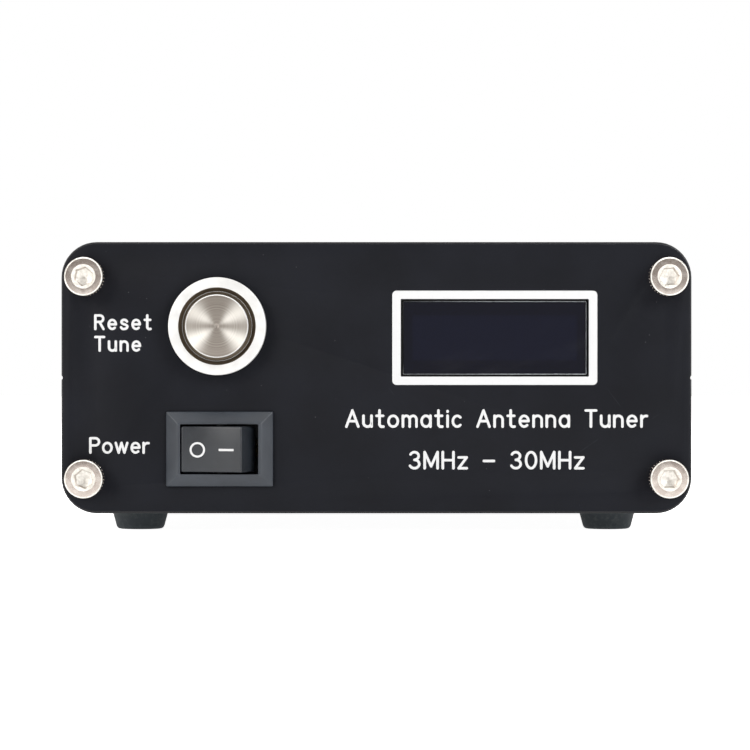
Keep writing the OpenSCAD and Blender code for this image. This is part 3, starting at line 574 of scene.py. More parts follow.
def finishes():
    """Each finish by its slot or look: the function that makes it, and what that needs."""
    return {
        "case_black": (anodised_case,),
        "panel_black": (panel_laminate,),
        "steel": (steel_screw,),
        "highlit_satin_steel": (highlit_satin_steel,),
        "steel_face": (turned_steel,),
        "nickel": (bright_nickel,),
        "flange": (flange_nickel,),
        "cone": (cone_nickel_painted_dark,),
        "foot_rubber": (foot_rubber,),
        "seal_rubber": (moulded, (0.014, 0.014, 0.015), 0.5, 0.02, 5.0),
        "adhesive_white": (moulded, (0.46, 0.47, 0.44), 0.55, 0.02, 7.0),
        "insulator_black": (moulded, (0.018, 0.018, 0.020), 0.4),
        "contact_brass": (brass_contact,),
        "switch_black": (moulded, colours().plastic, 0.30, 0.008, 12.0),
        "rocker_black": (moulded, shade(colours().plastic, 0.46), 0.28, 0.005, 14.0),
        "display_glass": (display_glass,),
        "ground_edge_painted_glint": (ground_edge_painted_glint,),
        "white_ink": (white_ink,),
        "board_blue": (solder_mask, (0.010, 0.030, 0.140)),
        "board_green": (solder_mask, colours().board),
        "relay_case": (moulded, (0.55, 0.56, 0.55), 0.35),
        "core_red": (sintered, (0.42, 0.035, 0.022), 0.3),
        "core_grey": (sintered, (0.060, 0.060, 0.062)),
        "copper_wire": (enamelled_wire,),
        "chip_black": (sintered, (0.020, 0.020, 0.021), 0.5),
        "capacitor_can": (drawn_can,),
        "capacitor_orange": (sintered, (0.72, 0.22, 0.03), 0.25),
        "lead_red": (insulated, (0.50, 0.020, 0.018)),
        "lead_black": (insulated, (0.014, 0.014, 0.015)),
        "lead_white": (insulated, (0.72, 0.71, 0.66)),
        "insulator_white": (fluoropolymer,),
    }


_made = {}


def finish(name):
    """The material of a finish, made once."""
    if name not in _made:
        make, *details = finishes()[name]
        f = Finish(bpy.data.materials.new(name if details else make.__name__))
        make(f, *details)
        _made[name] = f.block
    return _made[name]


# ---- Modelling by operators ----


def alone(obj):
    """Leaves edit mode and makes obj the only selected object."""
    if bpy.context.mode != "OBJECT":
        bpy.ops.object.mode_set(mode="OBJECT")
    bpy.ops.object.select_all(action="DESELECT")
    if obj:
        obj.select_set(True)
        bpy.context.view_layer.objects.active = obj
    return obj


def edit(obj, wanted=None):
    """Enters edit mode with the vertices for which wanted(x, y, z in mm) holds selected, or all."""
    alone(obj)
    bpy.ops.object.mode_set(mode="EDIT")
    bpy.ops.mesh.select_mode(type="VERT")
    bpy.ops.mesh.select_all(action="SELECT" if wanted is None else "DESELECT")
    if wanted is not None:
        bpy.ops.object.mode_set(mode="OBJECT")
        for vertex in obj.data.vertices:
            vertex.select = bool(wanted(*(vertex.co / MM)))
        bpy.ops.object.mode_set(mode="EDIT")


def sealed(obj):
    """Merges doubles, drops loose edges and turns all faces outwards."""
    edit(obj)
    bpy.ops.mesh.remove_doubles(threshold=MERGE)
    bpy.ops.mesh.delete_loose(use_verts=True, use_edges=True, use_faces=False)
    bpy.ops.mesh.select_all(action="SELECT")
    bpy.ops.mesh.normals_make_consistent(inside=False)
    return alone(obj)


def ring_of(points):
    """A circle primitive whose vertices go to the given points, in millimetres."""
    alone(None)
    bpy.ops.mesh.primitive_circle_add(vertices=len(points), radius=MM, fill_type="NOTHING")
    obj = bpy.context.object
    for vertex, point in zip(obj.data.vertices, points):
        vertex.co = Vector(point) * MM
    return obj


def eased(corners, steps=4):
    """A closed outline whose corners (a, b, easing) are rounded by their easing."""
    points = []
    for i, corner in enumerate(corners):
        here = Vector(corner[:2])
        ease = corner[2] if len(corner) > 2 else 0
        before = Vector(corners[i - 1][:2]) - here
        after = Vector(corners[(i + 1) % len(corners)][:2]) - here
        reach_in = min(ease, before.length * 0.49)
        reach_out = min(ease, after.length * 0.49)
        if not ease:
            points.append(tuple(here))
            continue
        first = here + before.normalized() * reach_in
        last = here + after.normalized() * reach_out
        for k in range(steps + 1):
            t = k / steps
            points.append(tuple(first * (1 - t) ** 2 + here * 2 * t * (1 - t) + last * t * t))
    return points


def turned(profile, centre, steps=96, along="Y"):
    """A profile of (radius, depth, easing) spun about an axis through centre."""
    cx, cy, cz = centre
    if along == "Y":
        points = [(cx + r, cy + d, cz) for r, d in eased(profile)]
        axis = (0, 1, 0)
    else:
        points = [(cx + r, cy, cz + d) for r, d in eased(profile)]
        axis = (0, 0, 1)
    obj = ring_of(points)
    edit(obj)
    bpy.ops.mesh.spin(steps=steps, angle=math.tau, center=Vector(centre) * MM, axis=axis)
    return sealed(obj)


def lofted(rings):
    """A skin over rings of as many points each, filled at its ends unless the last is the first."""
    obj = ring_of(rings[0])
    closed = rings[0] == rings[-1]
    before = rings[0]
    edit(obj)
    if not closed:
        bpy.ops.mesh.edge_face_add()
    for ring in rings[1:]:
        edit_last(obj, before)
        bpy.ops.mesh.extrude_edges_move()
        bpy.ops.object.mode_set(mode="OBJECT")
        fresh = [v for v in obj.data.vertices if v.select]
        if len(fresh) != len(ring):
            raise RuntimeError(f"a loft of {len(ring)} points a ring went wrong")
        for vertex in fresh:
            vertex.co = Vector(ring[nearest(before, vertex.co / MM)]) * MM
        before = ring
    if not closed:
        edit_last(obj, before)
        bpy.ops.mesh.edge_face_add()
    return sealed(obj)


def nearest(ring, place):
    """The index of the ring's point that lies nearest to a place."""
    return min(range(len(ring)), key=lambda k: (Vector(ring[k]) - place).length_squared)


def edit_last(obj, ring):
    """Enters edit mode with the last ring's edges selected."""
    alone(obj)
    total, count = len(obj.data.vertices), len(ring)
    for polygon in obj.data.polygons:
        polygon.select = False
    for edge in obj.data.edges:
        edge.select = min(edge.vertices) >= total - count
    for vertex in obj.data.vertices:
        vertex.select = vertex.index >= total - count
    bpy.ops.object.mode_set(mode="EDIT")
    bpy.ops.mesh.select_mode(type="EDGE")


def rounded(w, h, r, y, centre, steps=5):
    """A rounded rectangle in the plane of the panels."""
    points = []
    for sx, sz, start in ((1, 1, 0), (-1, 1, 90), (-1, -1, 180), (1, -1, 270)):
        for k in range(steps + 1):
            a = math.radians(start + 90 * k / steps)
            points.append((centre[0] + sx * (w / 2 - r) + r * math.cos(a), centre[1] + y,
                           centre[2] + sz * (h / 2 - r) + r * math.sin(a)))
    return points


def stepped(w, h, r, profile, centre):
    """A loft of rounded rectangles: each profile point is (inset, y)."""
    rings = [rounded(w - 2 * d, h - 2 * d, max(r - d, 0.05), y, centre) for d, y in profile]
    return lofted(rings)


def block(outline, low, high, place):
    """An outline of (a, b) extruded from low to high; place(a, b, c) gives each point in mm."""
    return lofted([[place(a, b, c) for a, b in outline] for c in (low, high)])


def modified(obj, kind, **settings):
    """Adds a modifier and applies it."""
    alone(obj)
    bpy.ops.object.modifier_add(type=kind)
    modifier = obj.modifiers[-1]
    for key, value in settings.items():
        setattr(modifier, key, value)
    bpy.ops.object.modifier_apply(modifier=modifier.name)
    return obj


def bevelled(obj, width, segments, angle=30.0):
    """Rounds every edge sharper than angle."""
    return modified(obj, "BEVEL", width=width * MM, segments=segments, limit_method="ANGLE",
                    angle_limit=math.radians(angle), harden_normals=False)


def cut(obj, *tools):
    """Cuts the tools out of obj and removes them."""
    for tool in tools:
        modified(obj, "BOOLEAN", operation="DIFFERENCE", solver="EXACT", object=tool)
        bpy.data.objects.remove(tool)
    return sealed(obj)


def copied(obj, place, turn=0.0):
    """A copy with its own mesh, turned about Z and moved, in millimetres."""
    alone(obj)
    bpy.ops.object.duplicate(linked=False)
    copy = bpy.context.object
    copy.location = Vector(place) * MM
    copy.rotation_euler = (0, 0, math.radians(turn))
    return copy


def joined(pieces):
    """Joins pieces into one mesh."""
    alone(pieces[0])
    for piece in pieces:
        piece.select_set(True)
    bpy.ops.object.join()
    return bpy.context.object


def repeated(model, places, turn=0.0):
    """Copies of a model at all places, as one mesh; the model goes."""
    copies = [copied(model, place, turn) for place in places]
    bpy.data.objects.remove(model)
    return joined(copies)


def done(obj, node, name=None, look=None, slotted=True):
    """Names a finished piece, gives it its finish and body, and lets it stand for its CAD node."""
    alone(obj)
    bpy.ops.object.transform_apply(location=True, rotation=True, scale=True)
    bpy.ops.object.shade_smooth_by_angle(angle=SMOOTH_ANGLE)
    obj.name = obj.data.name = name or node + "_detailed"
    obj.data.materials.clear()
    obj.data.materials.append(finish(look or SLOTS[node]))
    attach(obj, frame["nodes"][node]["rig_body"])
    if slotted:
        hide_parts(node)
    return obj


def printed(obj, node, name):
    """Ends a white mark that lies on a CAD node's piece."""
    return done(obj, node, name, "white_ink", slotted=False)


def second_finish(obj, look, wanted):
    """Another finish for first-finish faces for which wanted(centre in mm, normal) holds."""
    obj.data.materials.append(finish(look))
    for polygon in obj.data.polygons:
        if polygon.material_index == 0 and wanted(polygon.center / MM, polygon.normal):
            polygon.material_index = len(obj.data.materials) - 1


def remade(node, edge=0.0, levels=0):
    """A CAD node's form as one clean mesh with soft edges, or with smooth tubes where levels is set."""
    obj = frame["nodes"][node].copy()
    obj.data = obj.data.copy()
    obj.hide_viewport = False
    obj.hide_render = False
    bpy.context.scene.collection.objects.link(obj)
    for key in [k for k in obj.keys() if k.startswith("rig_")]:
        del obj[key]
    obj.parent = None
    edit(obj)
    bpy.ops.mesh.remove_doubles(threshold=MERGE)
    bpy.ops.mesh.tris_convert_to_quads(face_threshold=0.35 if levels else 0.02, shape_threshold=1.0)
    if edge:
        bpy.ops.mesh.dissolve_limited(angle_limit=math.radians(0.5))
        bevelled(alone(obj), edge, 2)
    if levels:
        modified(obj, "SUBSURF", levels=levels, render_levels=levels)
    return done(obj, node)


def remade_all(levels=0, **edges):
    """Remakes CAD nodes, each with its edge in millimetres."""
    for node, edge in edges.items():
        remade(node, edge, levels)


def ridged(radius, depth, start, end, pitch):
    """Points (radius, depth) of a thread's ridges from start to end."""
    points = []
    count = int(abs(end - start) / pitch)
    way = 1 if end > start else -1
    for i in range(count):
        at = start + way * pitch * i
        for share, low in ((0.0, depth), (0.12, depth), (0.44, 0.0), (0.56, 0.0), (0.88, depth)):
            points.append((radius - low, at + way * pitch * share))
    points.append((radius - depth, start + way * pitch * count))
    return points


def tube(paths, radius):
    """Round bars along paths of ((x, y, z) in mm, share of the radius), as one mesh."""
    alone(None)
    bpy.ops.curve.primitive_nurbs_path_add()
    obj = bpy.context.object
    curve = obj.data
    curve.splines.clear()
    for path in paths:
        spline = curve.splines.new("POLY")
        spline.use_cyclic_u = path[0] == path[-1]
        points = path[:-1] if spline.use_cyclic_u else path
        spline.points.add(len(points) - 1)
        for target, (place, share) in zip(spline.points, points):
            target.co = (*(Vector(place) * MM), 1.0)
            target.radius = share
    curve.dimensions = "3D"
    curve.bevel_depth = radius * MM
    curve.bevel_resolution = 3
    curve.use_fill_caps = True
    alone(obj)
    bpy.ops.object.convert(target="MESH")
    return sealed(obj)


# ---- Legends ----


def arc(cx, cy, rx, ry, start, end, steps=14):
    """Points of an ellipse's arc."""
    return [(cx + rx * math.cos(math.radians(start + (end - start) * k / steps)),
             cy + ry * math.sin(math.radians(start + (end - start) * k / steps)))
            for k in range(steps + 1)]


def flowing(points, steps=5):
    """A smooth line through points."""
    out = []
    for i in range(len(points) - 1):
        a, b = points[max(i - 1, 0)], points[i]
        c, d = points[i + 1], points[min(i + 2, len(points) - 1)]
        for k in range(steps):
            t = k / steps
            out.append(tuple(
                0.5 * (2 * q + (r - p) * t + (2 * p - 5 * q + 4 * r - s) * t * t
                       + (3 * q - p - 3 * r + s) * t ** 3) for p, q, r, s in zip(a, b, c, d)))
    return out + [points[-1]]


def ellipse(cx, cy, rx, ry):
    loop = arc(cx, cy, rx, ry, 0, 360, 28)
    return loop[:-1] + [loop[0]]


LOW = 0.67
GLYPHS = {
    "R": (0.60, [[(0, 0), (0, 1)], [(0, 1)] + arc(0.34, 0.76, 0.24, 0.24, 90, -90) + [(0, 0.52)],
                 [(0.30, 0.52), (0.60, 0)]]),
    "P": (0.60, [[(0, 0), (0, 1)], [(0, 1)] + arc(0.34, 0.75, 0.26, 0.25, 90, -90) + [(0, 0.5)]]),
    "e": (0.55, [[(0.02, 0.345), (0.55, 0.345)] + arc(0.28, 0.335, 0.27, 0.335, 3, 312)]),
    "s": (0.48, [flowing([(0.45, 0.55), (0.35, 0.65), (0.20, 0.67), (0.06, 0.59), (0.06, 0.45),
                          (0.20, 0.36), (0.36, 0.31), (0.47, 0.20), (0.43, 0.07), (0.27, 0.0),
                          (0.12, 0.01), (0.01, 0.12)])]),
    "t": (0.42, [flowing([(0.18, 1), (0.18, 0.6), (0.18, 0.25), (0.19, 0.1), (0.28, 0.0),
                          (0.42, 0.0)]), [(0, LOW), (0.40, LOW)]]),
    "T": (0.64, [[(0.32, 0), (0.32, 1)], [(0, 1), (0.64, 1)]]),
    "u": (0.50, [[(0, LOW)] + arc(0.25, 0.25, 0.25, 0.25, 180, 360), [(0.50, LOW), (0.50, 0)]]),
    "n": (0.50, [[(0, 0), (0, LOW)], arc(0.25, 0.42, 0.25, 0.25, 180, 0) + [(0.50, 0)]]),
    "m": (0.84, [[(0, 0), (0, LOW)], arc(0.21, 0.44, 0.21, 0.23, 180, 0) + [(0.42, 0)],
                 arc(0.63, 0.44, 0.21, 0.23, 180, 0) + [(0.84, 0)]]),
    "i": (0.02, [[(0.01, 0), (0.01, LOW)], [(0.01, 0.93), (0.01, 0.96)]]),
    "c": (0.48, [arc(0.27, 0.335, 0.27, 0.335, 45, 315)]),
    "o": (0.58, [ellipse(0.29, 0.335, 0.29, 0.335)]),
    "w": (0.80, [[(0, LOW), (0.2, 0), (0.4, LOW), (0.6, 0), (0.8, LOW)]]),
    "r": (0.34, [[(0, 0), (0, LOW)], arc(0.28, 0.37, 0.28, 0.29, 180, 78)]),
    "H": (0.66, [[(0, 0), (0, 1)], [(0.66, 0), (0.66, 1)], [(0, 0.5), (0.66, 0.5)]]),
    "F": (0.60, [[(0, 0), (0, 1), (0.60, 1)], [(0, 0.52), (0.46, 0.52)]]),
    "A": (0.74, [[(0, 0), (0.37, 1), (0.74, 0)], [(0.13, 0.34), (0.61, 0.34)]]),
    "a": (0.55, [ellipse(0.275, 0.335, 0.275, 0.335), [(0.55, LOW), (0.55, 0)]]),
    "M": (0.80, [[(0, 0), (0, 1), (0.4, 0.12), (0.8, 1), (0.8, 0)]]),
    "z": (0.50, [[(0, LOW), (0.50, LOW), (0, 0), (0.50, 0)]]),
    "3": (0.60, [arc(0.29, 0.76, 0.26, 0.24, 155, -90), arc(0.29, 0.26, 0.30, 0.26, 90, -155)]),
    "0": (0.62, [ellipse(0.31, 0.5, 0.31, 0.5)]),
    "-": (0.62, [[(0, 0.45), (0.62, 0.45)]]),
    " ": (0.42, []),
}
TIP_STEPS = 4
SHARP = math.radians(50)


def straight_runs(path):
    """Splits a line at its sharp corners, so that every run keeps its full width."""
    runs = [[path[0]]]
    for before, point, after in zip(path, path[1:], path[2:]):
        runs[-1].append(point)
        come, go = Vector(point) - Vector(before), Vector(after) - Vector(point)
        if come.length > 1e-6 and go.length > 1e-6 and come.angle(go) > SHARP:
            runs.append([point])
    runs[-1].append(path[-1])
    return runs


def round_tips(path, reach):
    """Adds (point, share of the radius) at both ends of a line, so that its tips are round."""
    if path[0] == path[-1]:
        return [(p, 1.0) for p in path]
    start, second = Vector(path[0]), Vector(path[1])
    end, last = Vector(path[-1]), Vector(path[-2])
    out, back = (start - second).normalized(), (end - last).normalized()
    shares = [math.sin(math.pi / 2 * k / TIP_STEPS) for k in range(TIP_STEPS)]

    def tip(point, way, share):
        return tuple(point + way * reach * math.sqrt(1 - share * share)), max(share, 0.02)

    return ([tip(start, out, s) for s in shares] + [(p, 1.0) for p in path]
            + [tip(end, back, s) for s in reversed(shares)])


def legend(name, text, left, base, cap, width, stroke):
    """One printed word or line: its baseline's left end, cap height, whole width and stroke in mm."""
    advances = [GLYPHS[letter][0] * cap for letter in text]
    spacing = (width - sum(advances)) / (len(text) - 1)
    paths, x = [], left
    for letter, advance in zip(text, advances):
        for line in GLYPHS[letter][1]:
            flat = [(x + px * cap, FRONT_Y, MID_Z + base + pz * cap) for px, pz in line]
            paths += [round_tips(run, stroke / 2) for run in straight_runs(flat)]
        x += advance + spacing
    obj = tube(paths, stroke / 2)
    edit(obj)
    flatness = sizes().ink / (stroke / 2 * MM)
    bpy.ops.transform.resize(value=(1, flatness, 1), center_override=(0, FRONT_Y * MM, 0))
    return printed(obj, "front_panel", name)


# ---- Operators ----


class TunerOperator:
    """What all of the tuner's operators share."""

    bl_options = {"REGISTER", "UNDO"}

    def execute(self, context):
        self.make()
        return {"FINISHED"}


def area_light(name, place, aim, size, power, tint=(1, 1, 1)):
    """A soft rectangular lamp at a place, turned to aim, in metres."""
    alone(None)
    bpy.ops.object.light_add(type="AREA", location=place)
    lamp = bpy.context.object
    lamp.name = name
    lamp.data.shape = "RECTANGLE"
    lamp.data.size, lamp.data.size_y = size
    lamp.data.energy = power
    lamp.data.color = tint
    lamp.rotation_euler = (Vector(aim) - Vector(place)).to_track_quat("-Z", "Y").to_euler()


def paint_world():
    """White for the camera, softer warm grey for everything that reflects it."""
    f = Finish(bpy.data.worlds.new("studio"))
    bpy.context.scene.world = f.block
    seen = f.node("ShaderNodeBackground", {}, {"Color": (1, 1, 1, 1)})
    lit = f.node("ShaderNodeBackground", {}, {"Color": (0.44, 0.42, 0.40, 1)})
    ray = f.node("ShaderNodeLightPath", output="Is Camera Ray")
    mix = f.node("ShaderNodeMixShader", {}, {0: ray, 1: lit, 2: seen})
    f.node("ShaderNodeOutputWorld", {}, {"Surface": mix}, None)


def lay_floor():
    """A wide pale floor that is part of the stage."""
    alone(None)
    bpy.ops.mesh.primitive_plane_add(size=6.0, location=(0, 0, -0.00001))
    floor = bpy.context.object
    floor.name = "floor"
    f = Finish(bpy.data.materials.new("pale_floor"))
    tone = f.mix(f.noise(0.01), (0.86, 0.86, 0.86), (0.90, 0.90, 0.90))
    seen = f.node("ShaderNodeLightPath", output="Is Camera Ray")
    glow = f.mix(seen, (0.5, 0.5, 0.5), (1.0, 1.0, 1.0))
    f.surface(tone, 0.7, more={"Emission Color": glow, "Emission Strength": 0.96})
    floor.data.materials.append(f.block)


CAMERA_X = -0.21
CAMERA_UP = 0.38
CAMERA_AWAY = 480.0
LENS = 164.2


def place_camera():
    bpy.ops.object.camera_add(
        location=Vector((CAMERA_X, FRONT_Y - CAMERA_AWAY, MID_Z + CAMERA_UP)) * MM,
        rotation=(math.pi / 2, 0, 0))
    camera = bpy.context.object
    camera.data.lens = LENS
    camera.data.sensor_width = 36.0
    camera.data.clip_start = 0.01
    bpy.context.scene.camera = camera


class TUNER_OT_stage(TunerOperator, bpy.types.Operator):
    """Floor, world, lamps and camera"""

    bl_idname = "tuner.stage"
    bl_label = "Stage"

    def make(self):
        bpy.context.scene.view_settings.view_transform = "Standard"
        paint_world()
        lay_floor()
        aim = (0, -0.06, 0.02)
        area_light("lamp_left", (-0.62, -0.62, 0.42), aim, (0.5, 0.5), 5.7, (1.0, 0.98, 0.96))
        area_light("lamp_right", (0.62, -0.62, 0.42), aim, (0.5, 0.5), 5.7, (0.97, 0.98, 1.0))
        area_light("lamp_top", (0, 0.1, 0.9), (0, 0, 0), (0.9, 0.9), 7.0)
        area_light("lamp_rear", (0.35, 0.8, 0.4), (0, 0.05, 0.02), (0.5, 0.5), 2.6)
        place_camera()


class TUNER_OT_case(TunerOperator, bpy.types.Operator):
    """The two halves of the extruded case"""

    bl_idname = "tuner.case"
    bl_label = "Case"

    def make(self):
        edge = sizes().edge / MM
        remade_all(upper_case=edge, lower_case=edge)


class TUNER_OT_panels(TunerOperator, bpy.types.Operator):
    """The front and the rear panel"""

    bl_idname = "tuner.panels"
    bl_label = "Panels"

    def make(self):
        edge = sizes().edge / MM
        remade_all(front_panel=edge, rear_panel=edge)


def hex_cutter(turn):
    """A hexagonal bar with a drill point, for a screw's socket."""
    across = HEX_AF / 2 / math.cos(math.pi / 6)
    corners = [math.radians(turn + 60 * k) for k in range(6)]
    return lofted([[(s * across * math.cos(a), y, s * across * math.sin(a)) for a in corners]
                   for s, y in ((1.04, -HEAD_H - 1), (1.0, -HEAD_H + 0.2), (0.84, -1.6), (0.04, -1.2))])


def cap_screw(turn):
    """A knurled socket-head screw at the origin, its head towards -Y."""
    profile = [(0, -HEAD_H), (HEAD_R - RIM, -HEAD_H, 0.03), (HEAD_R, -HEAD_H + RIM, 0.06),
               (HEAD_R, 0, 0.1), (SHANK_R, 0)]
    profile += ridged(SHANK_R, THREAD_DEPTH, 1.0, SCREW_L - 0.4, THREAD_PITCH)
    profile += [(SHANK_R - 0.4, SCREW_L), (0, SCREW_L)]
    screw = turned(profile, (0, 0, 0), 4 * sizes().knurls)
    flute = math.tau / sizes().knurls
    edit(screw, lambda x, y, z: math.hypot(x, z) > HEAD_R - 0.01
         and 0.3 < (math.atan2(z, x) / flute) % 1 < 0.8)
    bpy.ops.transform.resize(value=(KNURL, 1, KNURL), center_override=(0, 0, 0))
    chamfer = turned([(0, -HEAD_H - 0.4), (SOCKET_MOUTH + 0.4, -HEAD_H - 0.4), (SOCKET_MOUTH, -HEAD_H),
                      (1.15, -HEAD_H + 0.55), (0, -HEAD_H + 0.55)], (0, 0, 0), 72)
    return cut(screw, chamfer, hex_cutter(turn))


def screw_finishes(obj, corners, face, outwards):
    """Painted highlights: the lighter satin steel on the chamfers and sockets of the screws whose heads
    end at face.
    """
    def highlit_rims_and_sockets(c, n):
        radius = min(math.hypot(c.x - x, c.z - z) for x, z in corners)
        depth = (face - c.y) * outwards
        inside = radius < SOCKET_MOUTH - 0.02 and outwards * n.y > 0.3
        return depth < SOCKET_DEPTH and (inside or radius > HEAD_R - RIM and depth < RIM - 0.02)

    second_finish(obj, "highlit_satin_steel", highlit_rims_and_sockets)


class TUNER_OT_screws(TunerOperator, bpy.types.Operator):
    """The eight screws of the end panels"""

    bl_idname = "tuner.screws"
    bl_label = "Panel screws"

    def make(self):
        low, high = box_mm("front_screws")
        corners = [(x, z) for z in (high.z - HEAD_R, low.z + HEAD_R)
                   for x in (low.x + HEAD_R, high.x - HEAD_R)]
        front = []
        for (x, z), turn in zip(corners, FRONT_HEX_TURNS):
            screw = cap_screw(turn)
            screw.location = Vector((x, FRONT_Y, z)) * MM
            front.append(screw)
        front = done(joined(front), "front_screws")
        screw_finishes(front, corners, FRONT_Y - HEAD_H, -1)
        rear = repeated(cap_screw(REAR_HEX_TURN), [(x, REAR_Y, z) for x, z in corners], 180)
        screw_finishes(done(rear, "rear_screws"), corners, REAR_Y + HEAD_H, 1)


class TUNER_OT_feet(TunerOperator, bpy.types.Operator):
    """The four rubber feet and their adhesive pads"""

    bl_idname = "tuner.feet"
    bl_label = "Feet"

    def make(self):
        low, high = box_mm("feet")
        top = high.z
        model = turned([(0, 0), (3.1, 0, 0.4), (3.42, 0.3, 0.35), (FOOT_R, top, 0.25), (0, top)],
                       (0, 0, 0), 64, "Z")
        done(repeated(model, [(x, y, 0) for x in (low.x + FOOT_R, high.x - FOOT_R)
                              for y in (low.y + FOOT_R, high.y - FOOT_R)]), "feet")
        remade("foot_pads", 0.03)


LEGENDS = (
    # name, text, left end, baseline above the middle, cap height, width, stroke
    ("legend_reset", "Reset", -39.45, 6.84, 1.90, 7.74, 0.36),
    ("legend_tune", "Tune", -39.45, 3.81, 1.90, 6.27, 0.36),
    ("legend_power", "Power", -40.15, -10.51, 2.02, 8.16, 0.36),
    ("legend_title", "Automatic Antenna Tuner", -4.22, -6.86, 2.26, 42.17, 0.38),
    ("legend_band", "3MHz - 30MHz", 4.67, -12.70, 2.26, 24.35, 0.38),
)
FRAME_W = 28.77
FRAME_H = 13.22
FRAME_R = 0.6


class TUNER_OT_legends(TunerOperator, bpy.types.Operator):
    """The printed legends and the white frame round the window"""

    bl_idname = "tuner.legends"
    bl_label = "Legends"

    def make(self):
        for row in LEGENDS:
            legend(*row)
        ink = sizes().ink / MM
        outer = [rounded(FRAME_W, FRAME_H, FRAME_R, y, WINDOW) for y in (0.0, -ink)]
        inner = [rounded(WINDOW_W + 0.2, WINDOW_H + 0.2, 0.12, y, WINDOW) for y in (-ink, 0.0)]
        printed(lofted(outer + inner + outer[:1]), "front_panel", "legend_window_frame")


def from_button(place):
    """The distance of a place in millimetres from the button's axis."""
    return math.hypot(place.x - BUTTON.x, place.z - BUTTON.z)


def make_flange():
    slope_back = CONE_R - LIP_R - 0.1 - FLANGE_T
    lip = LIP_R + 0.04
    profile = [
        (FLANGE_R, 0, 0.05), (FLANGE_R, -FLANGE_T, 0.2), (CONE_R, -FLANGE_T, 0.06),
        (lip, slope_back, 0.01), (LIP_R, slope_back, 0.01), (LIP_R, -0.7, 0.03),
        (BORE_R, -0.7), (BORE_R, BARREL_END, 0.05), (BARREL_R - 0.25, BARREL_END, 0.1)]
    profile += reversed(ridged(BARREL_R, 0.25, 1.2, BARREL_END - 0.6, 0.75))
    profile += [(BARREL_R, 1.0), (BARREL_R, 0), (6.0, 0), (6.0, -0.6), (6.65, -0.6), (6.65, 0)]
    flange = done(turned(profile, BUTTON, 128), "button_housing", look="flange")
    # Painted shade: the cone, lip and bore inside the flange take the dark cone finish.
    second_finish(flange, "cone", lambda c, n: from_button(c) < CONE_R - 0.02 and n.y > -0.9)
    second_finish(flange, "nickel", lambda c, n: c.y > FRONT_Y)


def make_cap():
    stem_end = box_mm("tune_button")[1].y - BUTTON.y
    rim = FRONT_Y + CAP_FRONT + CAP_EDGE
    cap = done(turned([
        (0, CAP_FRONT + 0.08), (0.15, CAP_FRONT + 0.06, 0.05), (0.34, CAP_FRONT, 0.08),
        (CAP_R - CAP_EDGE, CAP_FRONT, 0.03), (CAP_R, CAP_FRONT + CAP_EDGE, 0.04), (CAP_R, -0.65),
        (BORE_R - 0.08, -0.65, 0.05), (BORE_R - 0.08, 0.85, 0.05), (1.2, 0.85), (1.2, stem_end),
        (0, stem_end)], BUTTON, 128), "tune_button")
    # Painted shade: the cap's sides behind its rim, down in the bore, take the dark cone finish.
    second_finish(cap, "cone", lambda c, n: c.y > rim)
    second_finish(cap, "flange", lambda c, n: c.y < rim and n.y > -0.97 and from_button(c) > 1)


def make_spring():
    spring = remade("button_spring", levels=1)
    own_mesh(spring)


class TUNER_OT_button(TunerOperator, bpy.types.Operator):
    """The push button with its flange, cap, nut and contacts"""

    bl_idname = "tuner.button"
    bl_label = "Push button"

    def make(self):
        make_flange()
        make_cap()
        remade_all(button_washer=0.06, button_nut=0.15, button_base=0.12, button_terminals=0.06,
                   button_bridge=0.06, button_seal=0.0)
        make_spring()


def at_rocker(u, v, z):
    """A point of the rocker, drawn level about its pivot, at its rest tilt."""
    x = u * math.cos(ROCKER_TILT) - v * math.sin(ROCKER_TILT)
    y = -u * math.sin(ROCKER_TILT) - v * math.cos(ROCKER_TILT)
    return (SWITCH.x + x, SWITCH.y + PIVOT_BACK + y, SWITCH.z + z)


def dish(u):
    """The height of the rocker's hollow face at u."""
    radius = (FACE_HALF ** 2 + FACE_DIP ** 2) / (2 * FACE_DIP)
    return FACE_V - FACE_DIP + radius - math.sqrt(radius ** 2 - u ** 2)


def mark_on_rocker(name, outer, inner=None):
    """A flat white mark that follows the rocker's face; outlines are (u, z)."""
    low, high = -0.05, 0.02

    def lay(outline, lift):
        return [at_rocker(u, dish(u) + lift, z) for u, z in outline]

    rings = [lay(outer, low), lay(outer, high)]
    if inner:
        rings += [lay(inner, high), lay(inner, low), rings[0]]
    printed(lofted(rings), "rocker", name)


def circle_outline(u, z, radius, count=40):
    return [(u + radius * math.cos(math.tau * k / count), z + radius * math.sin(math.tau * k / count))
            for k in range(count)]


def make_bezel():
    wide, high = (BEZEL_W - OPENING_W) / 2, (BEZEL_H - OPENING_H) / 2
    profile = [(0.0, 0.0, 0.0), (0.0, -BEZEL_EDGE, 0.12), (1.0, -BEZEL_T, 0.2),
               (2.0, -BEZEL_T, 0.12), (2.0, BEZEL_BACK, 0.0)]
    rings = []
    for share, y in eased(profile, 5):
        slope = min(share, 1.0)
        rest = max(share - 1.0, 0.0)
        dx = BEZEL_SLOPE * slope + rest * (wide - BEZEL_SLOPE)
        dz = BEZEL_SLOPE * slope + rest * (high - BEZEL_SLOPE)
        rings.append(rounded(BEZEL_W - 2 * dx, BEZEL_H - 2 * dz, 0.18 - 0.04 * slope, y, SWITCH))
    rings += [rounded(OPENING_W + 0.8, OPENING_H + 0.8, 0.2, y, SWITCH) for y in (BEZEL_BACK, 0.0)]
    done(lofted(rings + rings[:1]), "switch_housing", "switch_bezel")
    body = remade("switch_housing")
    edit(body)
    bpy.ops.mesh.bisect(plane_co=(0, (FRONT_Y + BEZEL_BACK) * MM, 0), plane_no=(0, -1, 0),
                        clear_outer=True, use_fill=True, threshold=1e-6)
    alone(body)
    bpy.ops.object.shade_smooth_by_angle(angle=SMOOTH_ANGLE)


def rocker_peg(radius, low, high):
    """A round bar behind the rocker, along the rocker's depth."""
    return block(circle_outline(0, 0, radius, 32), low, high, lambda a, b, c: at_rocker(a, c, b))


